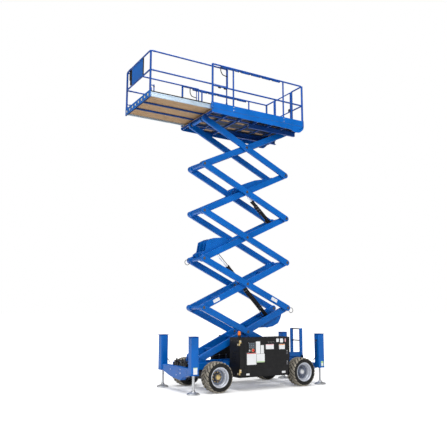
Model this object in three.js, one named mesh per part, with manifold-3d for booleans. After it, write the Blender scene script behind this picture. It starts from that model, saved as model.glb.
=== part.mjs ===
// Rough-terrain scissor lift with four outriggers and a sliding platform extension.
// Millimetres, +Z up, +X towards the ladder (rear), +Y to the right-hand side seen from the rear.
// Shapes are laid out from a station midway between the axles, and the finished group is
// shifted so that its origin is the centre of its bounding box, on the ground.
import * as THREE from 'three';
import { mergeVertices } from 'three/addons/utils/BufferGeometryUtils.js';
import Module from 'manifold-3d';

const wasm = await Module();
wasm.setup();

// ---------------------------------------------------------------- driving dimensions
const wheelbase = 2290;
const overallWidth = 1752;
const tyreRadius = 327;
const tyreWidth = 305;
const rimRadius = 205;
const kingpinY = 530;
const hubFaceY = 700;

const levels = 5;
const armPinSpan = 2597;
const restAngle = THREE.MathUtils.degToRad(25.27);
const basePinX = -1272;
const basePinZ = 700;
const armDepth = 145;
const innerArmFaceY = 225;
const innerArmWidth = 70;
const armSideGap = 7;
const outerArmWidth = 66;
const crossTubeRadius = 35;
const pinRadius = 30;
const pinClearance = 0.4;
const pinSides = 8;
const rollerRadius = 43.5;
const channelOpening = 92;
const channelWall = 8;
const channelWidth = 62;
const channelGap = 6;
const slideTravelRear = 1385;
const slideTravelFront = -75;

const lowerBarrelRadius = 48;
const lowerRodRadius = 34;
const lowerBarrelLength = 1830;
const lowerClevisGap = 82;
const upperBarrelRadius = 46;
const upperRodRadius = 27;
const upperBarrelLength = 800;
const upperClevisGap = 76;
const clevisThickness = 20;

const platformFront = -1326;
const platformRear = 1346;
const platformHalfWidth = 797;
const deckRoom = 12.5;
const deckAbovePin = armDepth / 2 + deckRoom;
const floorThickness = 15;
const toeBoardHeight = 150;
const toeBoardThickness = 12;
const bandBelowPin = 0;
const memberWidth = 30;
const railHeight = 1100;
const railRadius = 20;
const midRailHeight = 560;
const railSides = 6;

const extensionTravel = 1520;
const toePlateThickness = 29;
const toePlateRoom = 34;
const extensionLength = 1990;
const extensionHalfWidth = 717;
const extensionGap = 7;
const extensionMemberDepth = 38;
const extensionFloorThickness = 12;
const extensionRailHeight = 1025;
const extensionRailRadius = 19;

const gateLow = -310;
const gateHigh = 360;

const outriggerTubeSide = 175;
const outriggerTubeTop = 1195;
const outriggerTubeBottom = 392;
const frontOutriggerReach = 590;
const frontOutriggerX = -wheelbase / 2 - frontOutriggerReach;
const frontOutriggerY = 754;
const rearOutriggerReach = 580;
const rearOutriggerX = wheelbase / 2 + rearOutriggerReach;
const rearOutriggerY = 730;
const legRodRadius = 28;
const padRadius = 140;

const frameRailInnerY = 290;
const frameRailWidth = 80;
const frameRailBottom = 460;
const frameRailTop = 600;
const frameTailFront = 1480;
const frameTailBottom = 380;
const frontBeamTop = 533;
const rearBeamTop = 490;

const coverFrontRoom = 510;
const coverRearRoom = 410;
const hydraulicCoverRoom = 965;
const coverFront = coverFrontRoom - wheelbase / 2;
const coverRear = wheelbase / 2 - coverRearRoom;
const hydraulicCoverFront = hydraulicCoverRoom - wheelbase / 2;
const coverInnerY = 480;
const coverShoulderY = 422;
const coverShoulderRear = -120;
const coverOuterY = 850;
const coverBottom = 285;
const coverTop = 1145;
const coverWall = 12;
const doorThickness = 25;

const ladderFromOutrigger = 125;
const ladderX = rearOutriggerX - ladderFromOutrigger;
const ladderHalfWidth = 200;
const ladderRailHalf = 44;
const ladderTop = 1310;

// running gap kept between two pieces that only touch
const seatGap = 0.3;

// ---------------------------------------------------------------- colours
const blue = new THREE.MeshStandardMaterial({ color: 0x0a56b8, roughness: 0.4, metalness: 0.1 });
const darkBlue = new THREE.MeshStandardMaterial({ color: 0x07306e, roughness: 0.5, metalness: 0.1 });
const black = new THREE.MeshStandardMaterial({ color: 0x17181a, roughness: 0.6, metalness: 0.1 });
const rubber = new THREE.MeshStandardMaterial({ color: 0x2b2b2a, roughness: 0.9, metalness: 0 });
const silver = new THREE.MeshStandardMaterial({ color: 0xd4d7da, roughness: 0.35, metalness: 0.7 });
const chrome = new THREE.MeshStandardMaterial({ color: 0xe8e8e8, roughness: 0.12, metalness: 1 });
const castIron = new THREE.MeshStandardMaterial({ color: 0x4a4a48, roughness: 0.7, metalness: 0.5 });
const plywood = new THREE.MeshStandardMaterial({ color: 0xb98a5a, roughness: 0.8, metalness: 0 });
const amber = new THREE.MeshStandardMaterial({ color: 0xf07a12, roughness: 0.3, metalness: 0 });

// ---------------------------------------------------------------- solids
function toSolid(geometry) {
  const bare = geometry.clone();
  bare.deleteAttribute('normal');
  bare.deleteAttribute('uv');
  const merged = mergeVertices(bare, 1e-3);
  return new wasm.Manifold(new wasm.Mesh({
    numProp: 3,
    vertProperties: new Float32Array(merged.attributes.position.array),
    triVerts: new Uint32Array(merged.index.array),
  }));
}

function toGeometry(solid) {
  const mesh = solid.getMesh();
  const geometry = new THREE.BufferGeometry();
  geometry.setAttribute('position', new THREE.BufferAttribute(mesh.vertProperties, 3));
  geometry.setIndex(new THREE.BufferAttribute(mesh.triVerts, 1));
  geometry.computeVertexNormals();
  return geometry;
}

function box(x0, x1, y0, y1, z0, z1) {
  const geometry = new THREE.BoxGeometry(Math.abs(x1 - x0), Math.abs(y1 - y0), Math.abs(z1 - z0));
  geometry.translate((x0 + x1) / 2, (y0 + y1) / 2, (z0 + z1) / 2);
  return toSolid(geometry);
}

// a many-sided rod; turned by half a facet unless told otherwise
function rodBetween(start, end, radius, sides = pinSides, turn = Math.PI / sides) {
  const from = new THREE.Vector3(...start);
  const along = new THREE.Vector3(...end).sub(from);
  const geometry = new THREE.CylinderGeometry(radius, radius, along.length(), sides);
  geometry.rotateY(turn);
  const aim = new THREE.Quaternion();
  aim.setFromUnitVectors(new THREE.Vector3(0, 1, 0), along.clone().normalize());
  geometry.applyQuaternion(aim);
  geometry.translate(...from.addScaledVector(along, 0.5).toArray());
  return toSolid(geometry);
}

function crossRod(x, z, y0, y1, radius, sides = pinSides, turn = Math.PI / sides) {
  return rodBetween([x, y0, z], [x, y1, z], radius, sides, turn);
}

// the corner radius of a bore whose flats clear the corners of a pin of the given radius
function boreRadius(radius, sides = pinSides) {
  return (radius + pinClearance) / Math.cos(Math.PI / sides);
}

// a plate standing in the X-Z plane, between two Y values
function plate(outline, y0, y1) {
  const shape = new THREE.Shape(outline.map(([x, z]) => new THREE.Vector2(x, z)));
  const geometry = new THREE.ExtrudeGeometry(shape, { depth: Math.abs(y1 - y0), bevelEnabled: false });
  geometry.rotateX(Math.PI / 2);
  geometry.translate(0, Math.max(y0, y1), 0);
  return toSolid(geometry);
}

// a plate standing in the Y-Z plane, between two X values
function sidePlate(outline, x0, x1) {
  const standing = plate(outline, -x1, -x0);
  return standing.rotate([0, 0, 90]);
}

// a turned piece around the Y axis, from a profile of [radius, y] points
function turned(profile, segments) {
  const points = profile.map(([radius, y]) => new THREE.Vector2(radius, y));
  return toSolid(new THREE.LatheGeometry(points, segments));
}

function join(...solids) {
  return solids.reduce((sum, solid) => sum.add(solid));
}

function cut(solid, ...tools) {
  return tools.reduce((rest, tool) => rest.subtract(tool), solid);
}

function bothSides(makeSide) {
  return join(makeSide(-1), makeSide(1));
}

const model = new THREE.Group();

function addPart(name, solid, material, place = model) {
  const mesh = new THREE.Mesh(toGeometry(solid), material);
  mesh.name = name;
  place.add(mesh);
  return mesh;
}

// ---------------------------------------------------------------- scissor geometry
const levelRise = armPinSpan * Math.sin(restAngle);
const stackWidth = armPinSpan * Math.cos(restAngle);
const stackMiddleX = basePinX + stackWidth / 2;
const slidePinX = basePinX + stackWidth;
const topPinZ = basePinZ + levels * levelRise;
const halfSpan = armPinSpan / 2;
const innerArmOuterY = innerArmFaceY + innerArmWidth;
const outerArmInnerY = innerArmOuterY + armSideGap;
const outerArmOuterY = outerArmInnerY + outerArmWidth;
const channelInnerY = outerArmOuterY + channelGap;
const channelOuterY = channelInnerY + channelWidth;
const pinBoreRadius = boreRadius(pinRadius);

// brackets of the lift cylinders, in the frame of their arm: s along the arm, n across it
const lowerBasePin = { level: 1, s: 933, n: -188 };
const lowerRodPin = { level: 3, s: -849, n: 259 };
const upperBasePin = { level: 3, s: 1054, n: -11 };
const upperRodPin = { level: 4, s: 112, n: 140 };

function armMiddle(level) {
  return [stackMiddleX, basePinZ + (level - 0.5) * levelRise];
}

// the point s, n of a rising arm of one level, as [x, z]
function onRisingArm({ level, s, n }) {
  const [middleX, middleZ] = armMiddle(level);
  return [
    middleX + s * Math.cos(restAngle) - n * Math.sin(restAngle),
    middleZ + s * Math.sin(restAngle) + n * Math.cos(restAngle),
  ];
}

// an arm bar along X about its own middle, with round ends
function armBar(y0, y1) {
  const shape = new THREE.Shape();
  const half = armDepth / 2;
  shape.moveTo(-halfSpan, -half);
  shape.lineTo(halfSpan, -half);
  shape.absarc(halfSpan, 0, half, -Math.PI / 2, Math.PI / 2, false);
  shape.lineTo(-halfSpan, half);
  shape.absarc(-halfSpan, 0, half, Math.PI / 2, Math.PI * 1.5, false);
  const depth = Math.abs(y1 - y0);
  const geometry = new THREE.ExtrudeGeometry(shape, { depth, bevelEnabled: false, curveSegments: 4 });
  geometry.rotateX(Math.PI / 2);
  geometry.translate(0, Math.max(y0, y1), 0);
  return toSolid(geometry);
}

function armPair(innerY, width) {
  return bothSides((side) => armBar(side * innerY, side * (innerY + width)));
}

function boresAt(s) {
  return bothSides((side) => crossRod(
    s, 0, side * (innerArmFaceY - 60), side * channelOuterY, pinBoreRadius, pinSides, 0,
  ));
}

function tubeAt(s, n = 0) {
  return crossRod(s, n, -innerArmFaceY - 5, innerArmFaceY + 5, crossTubeRadius);
}

const gussetThickness = 20;
const gussetFaceY = innerArmFaceY - 5;

// a cylinder bracket: two outer gussets welded to the arms and two clevis plates at the middle
function cylinderBracket(outline, pin, clevisGap, memberPoints) {
  const lows = outline.map(([s]) => s);
  const first = Math.min(...lows) + 20;
  const last = Math.max(...lows) - 20;
  const halves = bothSides((side) => join(
    plate(outline, side * (gussetFaceY - gussetThickness), side * gussetFaceY),
    box(first, last, side * (gussetFaceY - 5), side * (innerArmFaceY + 4), -45, 45),
    plate(outline, side * clevisGap, side * (clevisGap + clevisThickness)),
    crossRod(pin.s, pin.n, side * clevisGap, side * gussetFaceY, 28),
  ));
  const members = memberPoints.map(([s, n]) => crossRod(s, n, -gussetFaceY, gussetFaceY, 30));
  return join(halves, ...members);
}

const lowerBaseOutline = [
  [330, -60], [650, -205], [791, -248], [965, -248], [1065, -186], [1160, -92], [1180, -60], [1180, 30],
  [330, 30],
];
const lowerRodOutline = [
  [-1245, -40], [-1245, 110], [-1125, 130], [-985, 318], [-800, 318], [-467, 205], [-467, -40],
];
const upperRodOutline = [
  [-260, -40], [-260, 100], [-110, 200], [220, 200], [450, 185], [820, 100], [820, -40],
];

function risingArm(level) {
  let frame = armPair(innerArmFaceY, innerArmWidth);
  const centrePins = bothSides((side) => crossRod(
    0, 0, side * (innerArmFaceY + 10), side * (outerArmOuterY + 6), pinRadius,
  ));
  const plainTubes = { 1: [-900, -250], 2: [-750, 750], 3: [400], 4: [-1190, 1080], 5: [-1000, 1000] };
  plainTubes[level].forEach((s) => {
    frame = frame.add(tubeAt(s));
  });
  if (level > 1) {
    frame = frame.subtract(boresAt(-halfSpan));
  }
  if (level < levels) {
    frame = frame.subtract(boresAt(halfSpan));
  }
  if (level === 1) {
    frame = join(
      frame,
      crossRod(-halfSpan, 0, -pivotBracketOuterY, pivotBracketOuterY, pinRadius),
      cylinderBracket(lowerBaseOutline, lowerBasePin, lowerClevisGap, [[640, -170]]),
      crossRod(lowerBasePin.s, lowerBasePin.n, -lowerClevisGap, lowerClevisGap, pinRadius),
    );
  }
  if (level === 3) {
    frame = join(
      frame,
      cylinderBracket(lowerRodOutline, lowerRodPin, lowerClevisGap, [[-1130, 95]]),
      crossRod(upperBasePin.s, upperBasePin.n, -innerArmFaceY - 5, innerArmFaceY + 5, pinRadius),
    );
  }
  if (level === 4) {
    frame = frame.add(cylinderBracket(upperRodOutline, upperRodPin, upperClevisGap, [[640, 100]]));
  }
  if (level === levels) {
    frame = join(frame, rollerShaft(halfSpan, innerArmFaceY));
  }
  return frame.add(centrePins);
}

// a shaft along the pin axis with a roller at each end, running in the slide channels
function rollerShaft(s, fromY) {
  return join(
    crossRod(s, 0, -fromY - 5, fromY + 5, pinRadius),
    bothSides((side) => crossRod(s, 0, side * (fromY - 5), side * (channelInnerY + 20), pinRadius)),
    bothSides((side) => crossRod(s, 0, side * (channelInnerY + 3), side * (channelOuterY - channelWall - 4),
      rollerRadius, 12, 0)),
  );
}

const pivotBracketInnerY = innerArmOuterY + 12;
const pivotBracketOuterY = pivotBracketInnerY + 30;
const topBracketInnerY = outerArmOuterY + 8;
const topBracketOuterY = topBracketInnerY + 26;

function fallingArm(level) {
  const centreBores = boresAt(0);
  let frame = armPair(outerArmInnerY, outerArmWidth).subtract(centreBores);
  const endTube = (s) => join(
    crossRod(s, 0, -outerArmInnerY - 5, outerArmInnerY + 5, pinRadius),
    crossRod(s, 0, -innerArmFaceY + 12, innerArmFaceY - 12, crossTubeRadius + 5),
  );
  const upperEnd = -halfSpan;
  const lowerEnd = halfSpan;
  frame = frame.add(endTube(upperEnd));
  if (level === 1) {
    frame = frame.add(rollerShaft(lowerEnd, outerArmInnerY));
  } else if (level === 2) {
    const stubs = bothSides((side) => crossRod(
      lowerEnd, 0, side * (innerArmFaceY - 6), side * (outerArmInnerY + 5), pinRadius,
    ));
    frame = frame.add(stubs);
  } else {
    frame = frame.add(endTube(lowerEnd));
  }
  if (level === levels) {
    frame = frame.add(crossRod(upperEnd, 0, -topBracketOuterY, topBracketOuterY, pinRadius));
  }
  return frame;
}

function addScissor() {
  for (let level = 1; level <= levels; level += 1) {
    const [middleX, middleZ] = armMiddle(level);
    [['inner', risingArm, -restAngle], ['outer', fallingArm, restAngle]].forEach(([kind, make, turn]) => {
      const place = new THREE.Group();
      place.position.set(middleX, 0, middleZ);
      place.rotation.y = turn;
      model.add(place);
      addPart(`${kind}_arms_${level}`, make(level), blue, place);
    });
  }
}

// ---------------------------------------------------------------- lift cylinders
// the cylinder lies along +X from its base pin, and a group turns it to the line of its pins
function addCylinder(prefix, basePin, rodPin, size) {
  const [baseX, baseZ] = onRisingArm(basePin);
  const [rodX, rodZ] = onRisingArm(rodPin);
  const length = Math.hypot(rodX - baseX, rodZ - baseZ);
  const place = new THREE.Group();
  place.position.set(baseX, 0, baseZ);
  place.rotation.y = -Math.atan2(rodZ - baseZ, rodX - baseX);
  model.add(place);
  const eyeRadius = size.barrelRadius - 4;
  const eyeHalfWidth = size.clevisGap - 8;
  const glandStart = size.barrelLength - 50;
  const gland = rodBetween([glandStart, 0, 0], [size.barrelLength, 0, 0], size.barrelRadius + 4, 12);
  const rodBore = boreRadius(size.rodRadius, 12);
  const barrel = cut(
    join(
      rodBetween([eyeRadius * 0.6, 0, 0], [size.barrelLength - 25, 0, 0], size.barrelRadius, 12),
      crossRod(0, 0, -eyeHalfWidth, eyeHalfWidth, eyeRadius, 12),
      gland,
    ),
    crossRod(0, 0, -eyeHalfWidth - 1, eyeHalfWidth + 1, pinBoreRadius),
    rodBetween([size.boreStart, 0, 0], [size.barrelLength + 1, 0, 0], rodBore, 12, 0),
  );
  const rodStart = length - size.rodLength;
  const rod = join(
    rodBetween([rodStart, 0, 0], [length - 10, 0, 0], size.rodRadius, 12),
    crossRod(length, 0, -eyeHalfWidth, eyeHalfWidth, size.rodRadius + 18, 12),
  );
  addPart(`${prefix}_cylinder_barrel`, barrel, black, place);
  addPart(`${prefix}_cylinder_rod`, rod, chrome, place);
}

function addCylinders() {
  addCylinder('lower', lowerBasePin, lowerRodPin, {
    barrelRadius: lowerBarrelRadius, rodRadius: lowerRodRadius, barrelLength: lowerBarrelLength,
    clevisGap: lowerClevisGap, boreStart: 110, rodLength: 1800,
  });
  addCylinder('upper', upperBasePin, upperRodPin, {
    barrelRadius: upperBarrelRadius, rodRadius: upperRodRadius, barrelLength: upperBarrelLength,
    clevisGap: upperClevisGap, boreStart: 110, rodLength: 880,
  });
}

// ---------------------------------------------------------------- chassis
// one slide channel, open towards the middle of the machine, at its front end and, with a
// rear wall of no thickness, at its rear end
function slideChannel(side, middleZ, rearX, rearWall) {
  const half = channelOpening / 2;
  return cut(
    box(slideTravelFront, rearX, side * channelInnerY, side * channelOuterY,
      middleZ - half - channelWall, middleZ + half + channelWall),
    box(slideTravelFront - 1, rearX - rearWall, side * (channelInnerY - 1),
      side * (channelOuterY - channelWall), middleZ - half, middleZ + half),
  );
}

const channelPosts = [slideTravelFront, 620, slideTravelRear - 60];
const channelSeat = frameRailTop - 10;

// a slide channel on the posts that carry it
function chassisChannel(side) {
  const foot = basePinZ - channelOpening / 2 - channelWall / 2;
  return join(
    slideChannel(side, basePinZ, slideTravelRear, 10),
    ...channelPosts.map((x) => box(
      x, x + 60, side * channelInnerY, side * channelOuterY, channelSeat + seatGap, foot,
    )),
  );
}

function chassisFrame() {
  const front = frontOutriggerX + 60;
  const rear = rearOutriggerX - 60;
  const outer = frameRailInnerY + frameRailWidth;
  const rails = bothSides((side) => join(
    box(front, frameTailFront, side * frameRailInnerY, side * outer, frameRailBottom, frameRailTop),
    box(frameTailFront - 80, rear, side * frameRailInnerY, side * outer, frameTailBottom, rearBeamTop),
    ...channelPosts.map((x) => box(
      x, x + 60, side * (outer - 5), side * channelOuterY, frameRailTop - 60, channelSeat,
    )),
  ));
  const pivots = bothSides((side) => cut(
    plate([
      [basePinX - 110, frameRailBottom + 20], [basePinX + 110, frameRailBottom + 20],
      [basePinX + 60, basePinZ + 45], [basePinX + 30, basePinZ + 68],
      [basePinX - 30, basePinZ + 68], [basePinX - 60, basePinZ + 45],
    ], side * pivotBracketInnerY, side * pivotBracketOuterY),
    crossRod(basePinX, basePinZ, side * (pivotBracketInnerY - 5), side * (pivotBracketOuterY + 5),
      pinBoreRadius),
  ));
  const inner = frameRailInnerY + 5;
  const crossMembers = [
    box(front, front + 80, -inner, inner, frameRailBottom, frameRailTop),
    box(-wheelbase / 2 - 90, -wheelbase / 2 + 90, -inner, inner, frameRailBottom, frameRailBottom + 60),
    box(-500, -420, -inner, inner, frameRailBottom, frameRailTop - 10),
    box(180, 240, -inner, inner, frameRailBottom - 60, frameRailBottom + 40),
    box(1300, 1380, -inner, inner, frameRailBottom, frameRailTop - 10),
    box(rear - 80, rear, -inner, inner, frameTailBottom, rearBeamTop),
    box(ladderX - 110, rear, -ladderHalfWidth, ladderHalfWidth, rearBeamTop - 40, frameRailTop),
  ];
  const armLow = frameRailBottom + 10;
  const armHigh = frameRailTop - 20;
  const coverArms = join(
    box(-480, -400, -outer + 5, -coverShoulderY + seatGap, armLow, armHigh),
    box(0, 80, outer - 5, coverInnerY - seatGap, armLow, armHigh),
    bothSides((side) => box(
      480, 560, side * (outer - 5), side * (coverInnerY - seatGap), armLow, armHigh,
    )),
  );
  const axleHangers = bothSides((side) => join(
    box(-wheelbase / 2 - 70, -wheelbase / 2 + 70, side * 200, side * 330,
      axleTop + seatGap, frameRailBottom + 5),
    box(wheelbase / 2 - 70, wheelbase / 2 + 70, side * frameRailInnerY, side * outer,
      axleTop + seatGap, frameRailBottom + 5),
  ));
  return join(rails, pivots, ...crossMembers, coverArms, axleHangers);
}

const axleHalfDepth = 60;
const axleTop = tyreRadius + axleHalfDepth;

function frontAxle() {
  const beamEnd = kingpinY - 62;
  const x = -wheelbase / 2;
  const beam = box(x - 55, x + 55, -beamEnd, beamEnd, tyreRadius - axleHalfDepth, axleTop);
  const yokes = bothSides((side) => join(
    box(x - 40, x + 40, side * (beamEnd - 10), side * (kingpinY + 20), tyreRadius + 58, tyreRadius + 84),
    box(x - 40, x + 40, side * (beamEnd - 10), side * (kingpinY + 20), tyreRadius - 84, tyreRadius - 58),
    box(x - 40, x + 40, side * (beamEnd - 25), side * beamEnd, tyreRadius - 84, tyreRadius + 84),
  ));
  const bores = bothSides((side) => rodBetween(
    [x, side * kingpinY, tyreRadius - 120], [x, side * kingpinY, tyreRadius + 120], boreRadius(15)));
  return cut(join(beam, yokes, differential(x)), bores);
}

function differential(x) {
  return rodBetween([x - 150, 0, tyreRadius], [x + 90, 0, tyreRadius], 110, 12);
}

function rearAxle() {
  const x = wheelbase / 2;
  const beamEnd = 560;
  return join(
    box(x - 55, x + 55, -beamEnd, beamEnd, tyreRadius - axleHalfDepth, axleTop),
    crossRod(x, tyreRadius, -hubFaceY + seatGap, hubFaceY - seatGap, 45),
    bothSides((side) => crossRod(x, tyreRadius, side * (beamEnd - 40), side * (beamEnd + 40), 105, 12)),
    differential(x),
  );
}

function steeringKnuckle(side) {
  const x = -wheelbase / 2;
  const y = side * kingpinY;
  return join(
    rodBetween([x, y, tyreRadius - 92], [x, y, tyreRadius + 92], 15),
    rodBetween([x, y, tyreRadius - 57.5], [x, y, tyreRadius + 57.5], 34),
    crossRod(x, tyreRadius, y, side * (hubFaceY - seatGap), 45),
    crossRod(x, tyreRadius, side * (kingpinY + 45), side * (kingpinY + 85), 100, 12),
    box(x + 10, x + steeringArmLength + 20, y - 18, y + 18, steeringArmZ, steeringArmZ + 20),
  );
}

const steeringArmLength = 130;
const steeringArmZ = tyreRadius - 52;

function tieRod() {
  const x = -wheelbase / 2 + steeringArmLength;
  const z = steeringArmZ - 6 - 18;
  return join(
    crossRod(x, z, -kingpinY, kingpinY, 13),
    bothSides((side) => rodBetween(
      [x, side * kingpinY, z - 18], [x, side * kingpinY, steeringArmZ - seatGap], 20,
    )),
  );
}

// ---------------------------------------------------------------- wheels
function tyre() {
  const half = tyreWidth / 2;
  return turned([
    [rimRadius, -half + 25], [rimRadius + 50, -half], [tyreRadius - 22, -half + 8], [tyreRadius, -half + 42],
    [tyreRadius, half - 42], [tyreRadius - 22, half - 8], [rimRadius + 50, half], [rimRadius, half - 25],
    [rimRadius, -half + 25],
  ], wheelSides);
}

// the rim's outer side is +Y; its hub plate rests against the hub face
function rim() {
  const half = tyreWidth / 2;
  const outside = rimRadius - seatGap;
  const plateY = hubFaceY - wheelMiddleY;
  return turned([
    [0, plateY], [rimRadius - 20, plateY], [rimRadius - 20, -half + 26], [outside, -half + 26],
    [outside, half - 26], [rimRadius - 16, half - 26], [rimRadius - 42, plateY + 18], [118, plateY + 12],
    [112, plateY + 62], [80, plateY + 96], [0, plateY + 96],
  ], wheelSides);
}

const wheelMiddleY = overallWidth / 2 - tyreWidth / 2;
const wheelSides = 24;

function addWheel(name, x, side) {
  const place = new THREE.Group();
  place.position.set(x, side * wheelMiddleY, tyreRadius);
  if (side < 0) {
    place.rotation.z = Math.PI;
  }
  model.add(place);
  addPart(`${name}_tyre`, tyre(), rubber, place);
  addPart(`${name}_rim`, rim(), silver, place);
}

// ---------------------------------------------------------------- outriggers
function outriggerTube(x, y) {
  const half = outriggerTubeSide / 2;
  const inside = half - 8;
  const cap = half + 8;
  return cut(
    join(
      box(x - half, x + half, y - half, y + half, outriggerTubeBottom, outriggerTubeTop),
      box(x - cap, x + cap, y - cap, y + cap, outriggerTubeTop - 10, outriggerTubeTop),
    ),
    box(x - inside, x + inside, y - inside, y + inside, outriggerTubeBottom + 20, outriggerTubeTop - 12),
    rodBetween([x, y, outriggerTubeBottom - 1], [x, y, outriggerTubeBottom + 30],
      boreRadius(legRodRadius), pinSides, 0),
  );
}

function outriggerLeg(x, y) {
  const foot = new THREE.LatheGeometry([
    [0, 0], [padRadius - 10, 0], [padRadius, 10], [padRadius - 2, 24], [95, 46], [48, 62], [36, 90], [0, 90],
  ].map(([radius, z]) => new THREE.Vector2(radius, z)), 16);
  foot.rotateX(Math.PI / 2);
  foot.translate(x, y, 0);
  return join(toSolid(foot), rodBetween([x, y, 60], [x, y, 820], legRodRadius));
}

// a crossbeam: its lower edge as y and z from the near tube to the far one
function outriggerBeam(x, tubeY, top, lowerEdge) {
  const end = tubeY - outriggerTubeSide / 2 - seatGap;
  const seat = outriggerTubeBottom + 5;
  const outline = [[-end, seat], ...lowerEdge, [end, seat], [end, top], [-end, top]];
  return sidePlate(outline, x - 60 + seatGap, x + 60 - seatGap);
}

function addOutriggers() {
  const sides = { left: -1, right: 1 };
  const ends = {
    front: [
      frontOutriggerX, frontOutriggerY, frontBeamTop,
      [[-330, 310], [-280, 255], [-190, 255], [200, 290], [330, 315]],
    ],
    rear: [rearOutriggerX, rearOutriggerY, rearBeamTop, [[-400, 300], [-280, 285], [280, 285], [400, 300]]],
  };
  Object.entries(ends).forEach(([end, [x, y, top, lowerEdge]]) => {
    addPart(`${end}_outrigger_beam`, outriggerBeam(x, y, top, lowerEdge), blue);
    Object.entries(sides).forEach(([sideName, side]) => {
      addPart(`${end}_${sideName}_outrigger_tube`, outriggerTube(x, side * y), blue);
      addPart(`${end}_${sideName}_outrigger_leg`, outriggerLeg(x, side * y), chrome);
    });
  });
}

// ---------------------------------------------------------------- side covers
const doorGap = 3;
const hingeRadius = 10;

// the near cover reaches further forward, with a wider part ahead of the slide channel
function coverFrontX(side) {
  return side < 0 ? coverFront : hydraulicCoverFront;
}

function sideCover(side) {
  const front = coverFrontX(side);
  const hinge = front - hingeReach;
  const shellOuter = coverOuterY - doorThickness - doorGap;
  const low = coverBottom + coverWall;
  const high = coverTop - coverWall;
  const outsides = [box(front, coverRear, side * coverInnerY, side * shellOuter, coverBottom, coverTop)];
  const insides = [box(front + coverWall, coverRear - coverWall, side * (coverInnerY + coverWall),
    side * (coverOuterY + 5), low, high)];
  if (side < 0) {
    outsides.push(box(
      front, coverShoulderRear, side * coverShoulderY, side * shellOuter, coverBottom, coverTop,
    ));
    insides.push(box(front + coverWall, coverShoulderRear - coverWall, side * (coverShoulderY + coverWall),
      side * (coverOuterY + 5), low, high));
  }
  const shell = cut(join(...outsides), ...insides);
  const lugs = hingeHeights.map((z) => join(
    rodBetween([hinge, side * hingeY, z - 62], [hinge, side * hingeY, z - 16], hingeRadius),
    rodBetween([hinge, side * hingeY, z - 17], [hinge, side * hingeY, z + 30], 4),
    box(hinge - 6, front - 2, side * (shellOuter - 60), side * (hingeY - 4), z - 62, z - 16),
    box(front - 3, front + 4, side * (shellOuter - 60), side * (shellOuter - 4), z - 62, z - 16),
  ));
  return join(shell, ...lugs);
}

const hingeReach = 12;
const hingeY = coverOuterY + 6;
const hingeHeights = [coverBottom + 125, coverTop - 106];

function coverDoor(side) {
  const front = coverFrontX(side);
  const hinge = front - hingeReach;
  const inner = coverOuterY - doorThickness;
  const panel = box(front + doorGap, coverRear, side * inner, side * coverOuterY, coverBottom, coverTop);
  const knuckles = hingeHeights.map((z) => cut(
    join(
      rodBetween([hinge, side * hingeY, z - 15], [hinge, side * hingeY, z + 58], hingeRadius),
      box(hinge, front + 30, side * (coverOuterY - 2), side * (hingeY + 4), z - 15, z + 58),
    ),
    rodBetween([hinge, side * hingeY, z - 16], [hinge, side * hingeY, z + 31], boreRadius(4)),
  ));
  return join(panel, ...knuckles);
}

function plainMass(x0, x1, side, height) {
  const low = coverBottom + coverWall + seatGap;
  return box(x0, x1, side * (coverInnerY + 40), side * (coverOuterY - doorThickness - 30), low, low + height);
}

function beacon() {
  const x = coverFront + 60;
  const y = -(coverOuterY - 115);
  const base = new THREE.LatheGeometry([
    [0, 0], [40, 0], [40, 52], [36, 56], [34, 126], [18, 146], [0, 146],
  ].map(([radius, z]) => new THREE.Vector2(radius, z)), 12);
  base.rotateX(Math.PI / 2);
  base.translate(x, y, coverTop + seatGap);
  return toSolid(base);
}

// a shallow box of switches on the near door
function groundControls() {
  const y = -coverOuterY - seatGap;
  return join(
    box(-418, -232, y - 14, y, 816, 1046),
    crossRod(-295, 868, y - 22, y - 10, 20),
  );
}

// ---------------------------------------------------------------- ladder
function ladder() {
  const rails = bothSides((side) => box(
    ladderX - ladderRailHalf, ladderX + ladderRailHalf, side * (ladderHalfWidth - 30), side * ladderHalfWidth,
    frameRailTop + seatGap, ladderTop,
  ));
  const rungHeights = [ladderTop - 15, 1010, 700];
  const rungs = rungHeights.map((z) => crossRod(ladderX, z, -ladderHalfWidth + 5, ladderHalfWidth - 5, 13));
  const step = box(ladderX - 110, ladderX + 60, -ladderHalfWidth, ladderHalfWidth,
    frameRailTop + seatGap, frameRailTop + 40);
  return join(rails, ...rungs, step);
}

// ---------------------------------------------------------------- platform
const deckTop = topPinZ + deckAbovePin + floorThickness;
const deckBottom = deckTop - floorThickness;
const bandBottom = topPinZ - bandBelowPin;

const bandThickness = 12;

// the deep side band along one edge of the floor
function platformBand(side) {
  const outline = [
    [platformFront, bandBottom + 20], [platformFront + 60, bandBottom],
    [platformRear - 420, bandBottom - 30], [platformRear - 300, bandBottom - 80],
    [platformRear - 130, bandBottom - 80], [platformRear, bandBottom + 40],
    [platformRear, deckBottom - seatGap], [platformFront, deckBottom - seatGap],
  ];
  return plate(outline, side * (platformHalfWidth - bandThickness), side * platformHalfWidth);
}

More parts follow.
